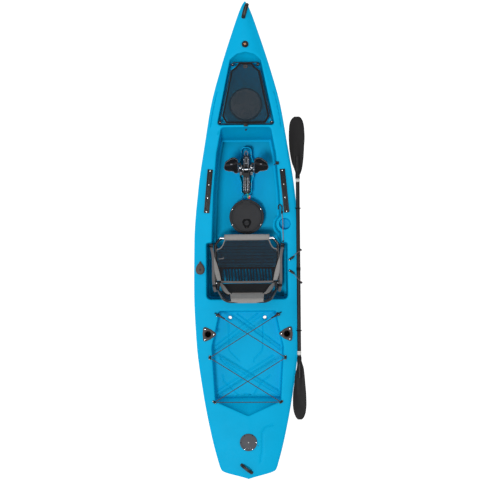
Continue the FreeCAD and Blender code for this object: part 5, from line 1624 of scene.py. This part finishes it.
def make_drive():
    tilt = math.radians(52)
    lift = Vector((0, -math.sin(tilt), math.cos(tilt))) * 5
    seat_of_pedal = Matrix.Translation(Vector((0, DRIVE_Y + 25, PEDAL_Z)) + lift) @ Matrix.Rotation(tilt, 4, "X")
    outline = rounded([(60, -84), (84, -92), (104, -66), (136, -62), (164, -52), (173, -24), (160, 34), (118, 76),
                       (84, 82), (62, 60)], 14, 6)
    for side, name in ((1, "starboard"), (-1, "port")):
        where = seat_of_pedal if side > 0 else mirror_x() @ seat_of_pedal
        t = Build()
        ring_points = resample(anticlockwise(outline), 8)
        loops = []
        for inset, z in ((3, 1), (0.6, 2.6), (0, 6), (0, 11), (1.4, 13.6), (4.6, 13.8), (6.4, 11.6), (9.5, 10.6)):
            loops.append([(x, y, z) for x, y in offset(ring_points, -inset)])
        t.add(stack(loops), drive_mat, where)
        for y in range(-62, 70, 15):
            reach = 40 - 0.004 * (y + 4) ** 2
            t.add(block((116 - reach, y - 2.6, 9.6), (114 + reach * 0.9, y + 2.6, 13.2), 1.2), drive_mat, where)
        t.add(block((70, -11, -10.5), (141, 11, 2.4), 3, 4), drive_mat, where)
        strap = smooth_line([(68, 40, 12), (82, 44, 30), (110, 40, 38), (138, 26, 30), (156, 8, 12)], 8)
        t.add(sweep(strap, tape(10, 1.2), up=(0, -1, 0)), dark_strap_mat, where)
        t.add(block((-8, -6, -2.5), (8, 6, 4), 1.6), drive_grey_mat, where @ moved(112, 40, 38))
        # painted highlight: a grey bead along the pedal's top edge stands in for the bright highlights on that edge
        highlight_bead = [(x, y, 13.9) for x, y in offset(ring_points, -3.0)]
        t.add(sweep(highlight_bead, [(-1.0, -0.8), (1.0, -0.8), (0.6, 0.7), (-0.6, 0.7)], closed=True), drive_grey_mat,
              where)
        t.make("pedal_%s_shaped" % name, "pedal_" + name[0], "drive_plastic", ["pedal_" + name])
        # hub cap, arm clamp and bolts that dress the crank
        c = Build()
        flip = Matrix.Identity(4) if side > 0 else mirror_x()
        c.add(lathe([(9.4, 54.2), (17, 54.2), (18, 55), (18, 57), (15, 58), (9.4, 58)], 28, closed=True),
              drive_grey_mat,
              flip @ turned("Y", 90, (0, DRIVE_Y, DRIVE_Z)))
        for a in (40, 140, 220, 320):
            c.add(lathe([(0, 53), (2.8, 53), (2.8, 56), (0, 56.4)], 6), steel_mat,
                  flip @ Matrix.Translation((0, DRIVE_Y + 13 * math.cos(math.radians(a)), DRIVE_Z
                                             + 13 * math.sin(math.radians(a))))
                                             @ Matrix.Rotation(math.pi / 2, 4, "Y"))
        for z in (232, 274, 300):
            y = DRIVE_Y + 3 + (z - 200) * 0.09
            c.add(lathe([(9.2, -3.5), (11.6, -3.2), (11.6, 3.2), (9.2, 3.5)], 24, closed=True), drive_grey_mat
                  if z != 274 else steel_mat, flip @ Matrix.Translation((43 + max(0, z - 258) * 0.117, y, z)))
        c.make("crank_%s_fittings" % name, "crank_" + name[0], "drive_plastic")

    d = Build()
    # chain rows and cable adjusters over the drive's body, seen from above
    for side in (-1, 1):
        for x in (side * 8.5, side * 19.5):
            for i in range(12):
                y = 520 - 10.5 * i
                z = 131.5 + max(0, (y - 470)) * 0.05 + 2
                d.add(block((x - 2.6, y - 4.2, z - 3), (x + 2.6, y + 4.2, z + 3.2), 1.4), steel_mat if i % 2
                      else drive_grey_mat)
        d.add(sweep(smooth_line([(side * 14, 664, 128), (side * 17, 620, 160), (side * 17, 600, 168),
                                 (side * 14, 578, 160)], 6), 3.6), drive_grey_mat)
        d.add(sweep(smooth_line([(side * 6, 500, 133), (side * 10, 450, 136), (side * 6, 392, 134)], 6), 2.2),
              steel_mat)
        d.add(lathe([(0, 0), (5.2, 0), (5.2, 4), (3.8, 5.2), (0, 5.4)], 6), steel_mat, at(side * 18, 640, 149.6))
        d.add(lathe([(0, 0), (4.6, 0), (4.6, 4), (3.4, 5), (0, 5)], 6), steel_mat, at(side * 38, 586, 124))
        d.add(block((side * 23 - 5, 545, 122), (side * 23 + 5, 575, 130), 2), drive_grey_mat)
    d.add(slab(rounded([(-15, 604), (15, 604), (10, 660), (-10, 660)], 6, 4), 149.5, 156, 2), drive_grey_mat)
    d.add(slab(rounded([(-8, 612), (8, 612), (5, 652), (-5, 652)], 3, 4), 155.6, 160, 1.5), drive_mat)
    for y in (404, 424, 444):
        d.add(block((-16, y, 127.6), (16, y + 6, 136.4), 1.6), drive_mat)
    d.add(lathe([(0, 0), (9, 0), (10, 3), (9, 8), (4, 9), (0, 9)], 28), drive_mat, at(0, 388, 127.6))
    d.add(sweep(smooth_line([(-9, 672, 118), (-12, 694, 112), (0, 712, 108), (12, 694, 112), (9, 672, 118)], 6),
                4.2), drive_grey_mat)
    d.add(block((-22, 656, 84), (22, 676, 120), 4), drive_mat)
    d.make("drive_details", "hull", "drive_plastic", ["drive_chains"])

    for name, y in (("front", 600.0), ("rear", 432.0)):
        make_fin(name, y)


def make_fin(name, y):
    """A flexible fin: full at the mast, thin at the trailing edge, with moulded ribs."""
    t = Build()
    z0 = 6.0
    rows = [(-64, 24, -24), (-72, 43, -30), (-90, 44, -44), (-140, 44, -46.5), (-200, 44, -48), (-260, 44, -41),
            (-330, 43.5, -30), (-362, 38, -18), (-378, 32, -6), (-384, 22, 8)]
    loops = []
    for dz, lead, trail in rows:
        width = lead - trail
        pts = []
        for k in range(19):
            a = 2 * math.pi * k / 19
            c = 0.5 + 0.5 * math.cos(a)
            yy = trail + width * c
            thick = 7.6 * math.sin(math.pi * c ** 0.62) ** 0.8 if 0 < c < 1 else 0
            thick = min(thick, 8) * (1 if dz < -70 else 0.8) * (1 if dz > -370 else 0.5)
            pts.append((math.copysign(thick, math.sin(a)), y + yy, z0 + dz))
        loops.append(pts)
    t.add(stack(loops), fin_mat)
    for dz in range(-110, -340, -42):
        for side in (-1, 1):
            t.add(sweep([(side * 6.2, y + 24, z0 + dz), (side * 5.2, y - 6, z0 + dz - 6),
                         (side * 2.4, y - 32, z0 + dz - 14)],
                        [(-1.6, -1.4), (1.6, -1.4), (1.0, 1.2), (-1.0, 1.2)]), fin_mat)
    t.make("fin_%s_shaped" % name, "fin_" + name[0], "drive_plastic", ["fin_blade_" + name])


def make_well_plate():
    """The plate that closes the drive's slot around its two masts."""
    t = Build()
    t.add(prism(offset(anticlockwise(DRIVE_SLOT), -0.2), 30, 33), hull_mat)
    plate = t.make("drive_well_plate", "hull", "moulded_hull")
    cut(plate, [prism(circle(0, mast, 10, 32), 20, 44) for mast in (630.0, 462.0)])


def paint_cad():
    """Finishes for the CAD nodes that stay in view."""
    paints = {
        hull_mat: ["drive_well_trunk", "hull_sleeves"],
        drive_mat: ["drive_spine", "crank_port", "crank_starboard"],
        drive_grey_mat: ["drive_lock_port", "drive_lock_starboard"],
        steel_mat: ["drive_shafts", "centre_hatch_hinge_pin", "rudder_pivot_pin", "seat_hinge_pins",
                    "fin_mast_front", "fin_mast_rear"],
        rubber_mat: ["hatch_seals"],
        black_mat: ["rudder_head", "rudder_stock", "steering_shaft"],
        fin_mat: ["rudder_blade"],
        tube_mat: ["seat_base_frame", "seat_back_frame"],
        shaft_mat: ["paddle_shaft_front", "paddle_shaft_rear"],
        cord_mat: ["steering_lines"],
    }
    for mat, names in paints.items():
        for name in names:
            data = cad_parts[name].data
            data.materials.clear()
            data.materials.append(mat)


fin_mat = moulded("fin_elastomer", srgb(34, 35, 38), 0.55, 0.12, 0.0002, 0.08, 0.25)
grey_lid_mat = moulded("bow_hatch_plastic", srgb(170, 156, 150), 0.6, 0.08, 0.0003, 0.10, 0.22, 520)
cover_mesh_mat = woven("cover_mesh", srgb(24, 46, 58), 2.6, 0.7, 0.12, open_share=0.62)
seat_mesh_mat = woven("seat_mesh", srgb(24, 32, 38), 2.4, 0.7, 0.16, open_share=0.42)
back_mesh_mat = woven("back_mesh", srgb(20, 22, 26), 2.4, 0.75, 0.16)
corner_mesh_mat = woven("corner_mesh", srgb(20, 24, 30), 2.4, 0.75, 0.16, open_share=0.6)
lacing_mesh_mat = woven("lacing_mesh", srgb(16, 60, 84), 2.4, 0.75, 0.2, open_share=0.84)
lacing_mat = woven("lacing", srgb(14, 34, 46), 1.4, 0.8, 0.2)

make_cords()
make_hatches()
make_tracks()
make_rod_holders()
make_anchors()
make_handles()
make_rudder_cap()
make_steering_grip()
make_cover()
make_seat()
make_seat_back()
make_paddle()
make_side_fittings()
make_drive()
make_well_plate()
paint_cad()
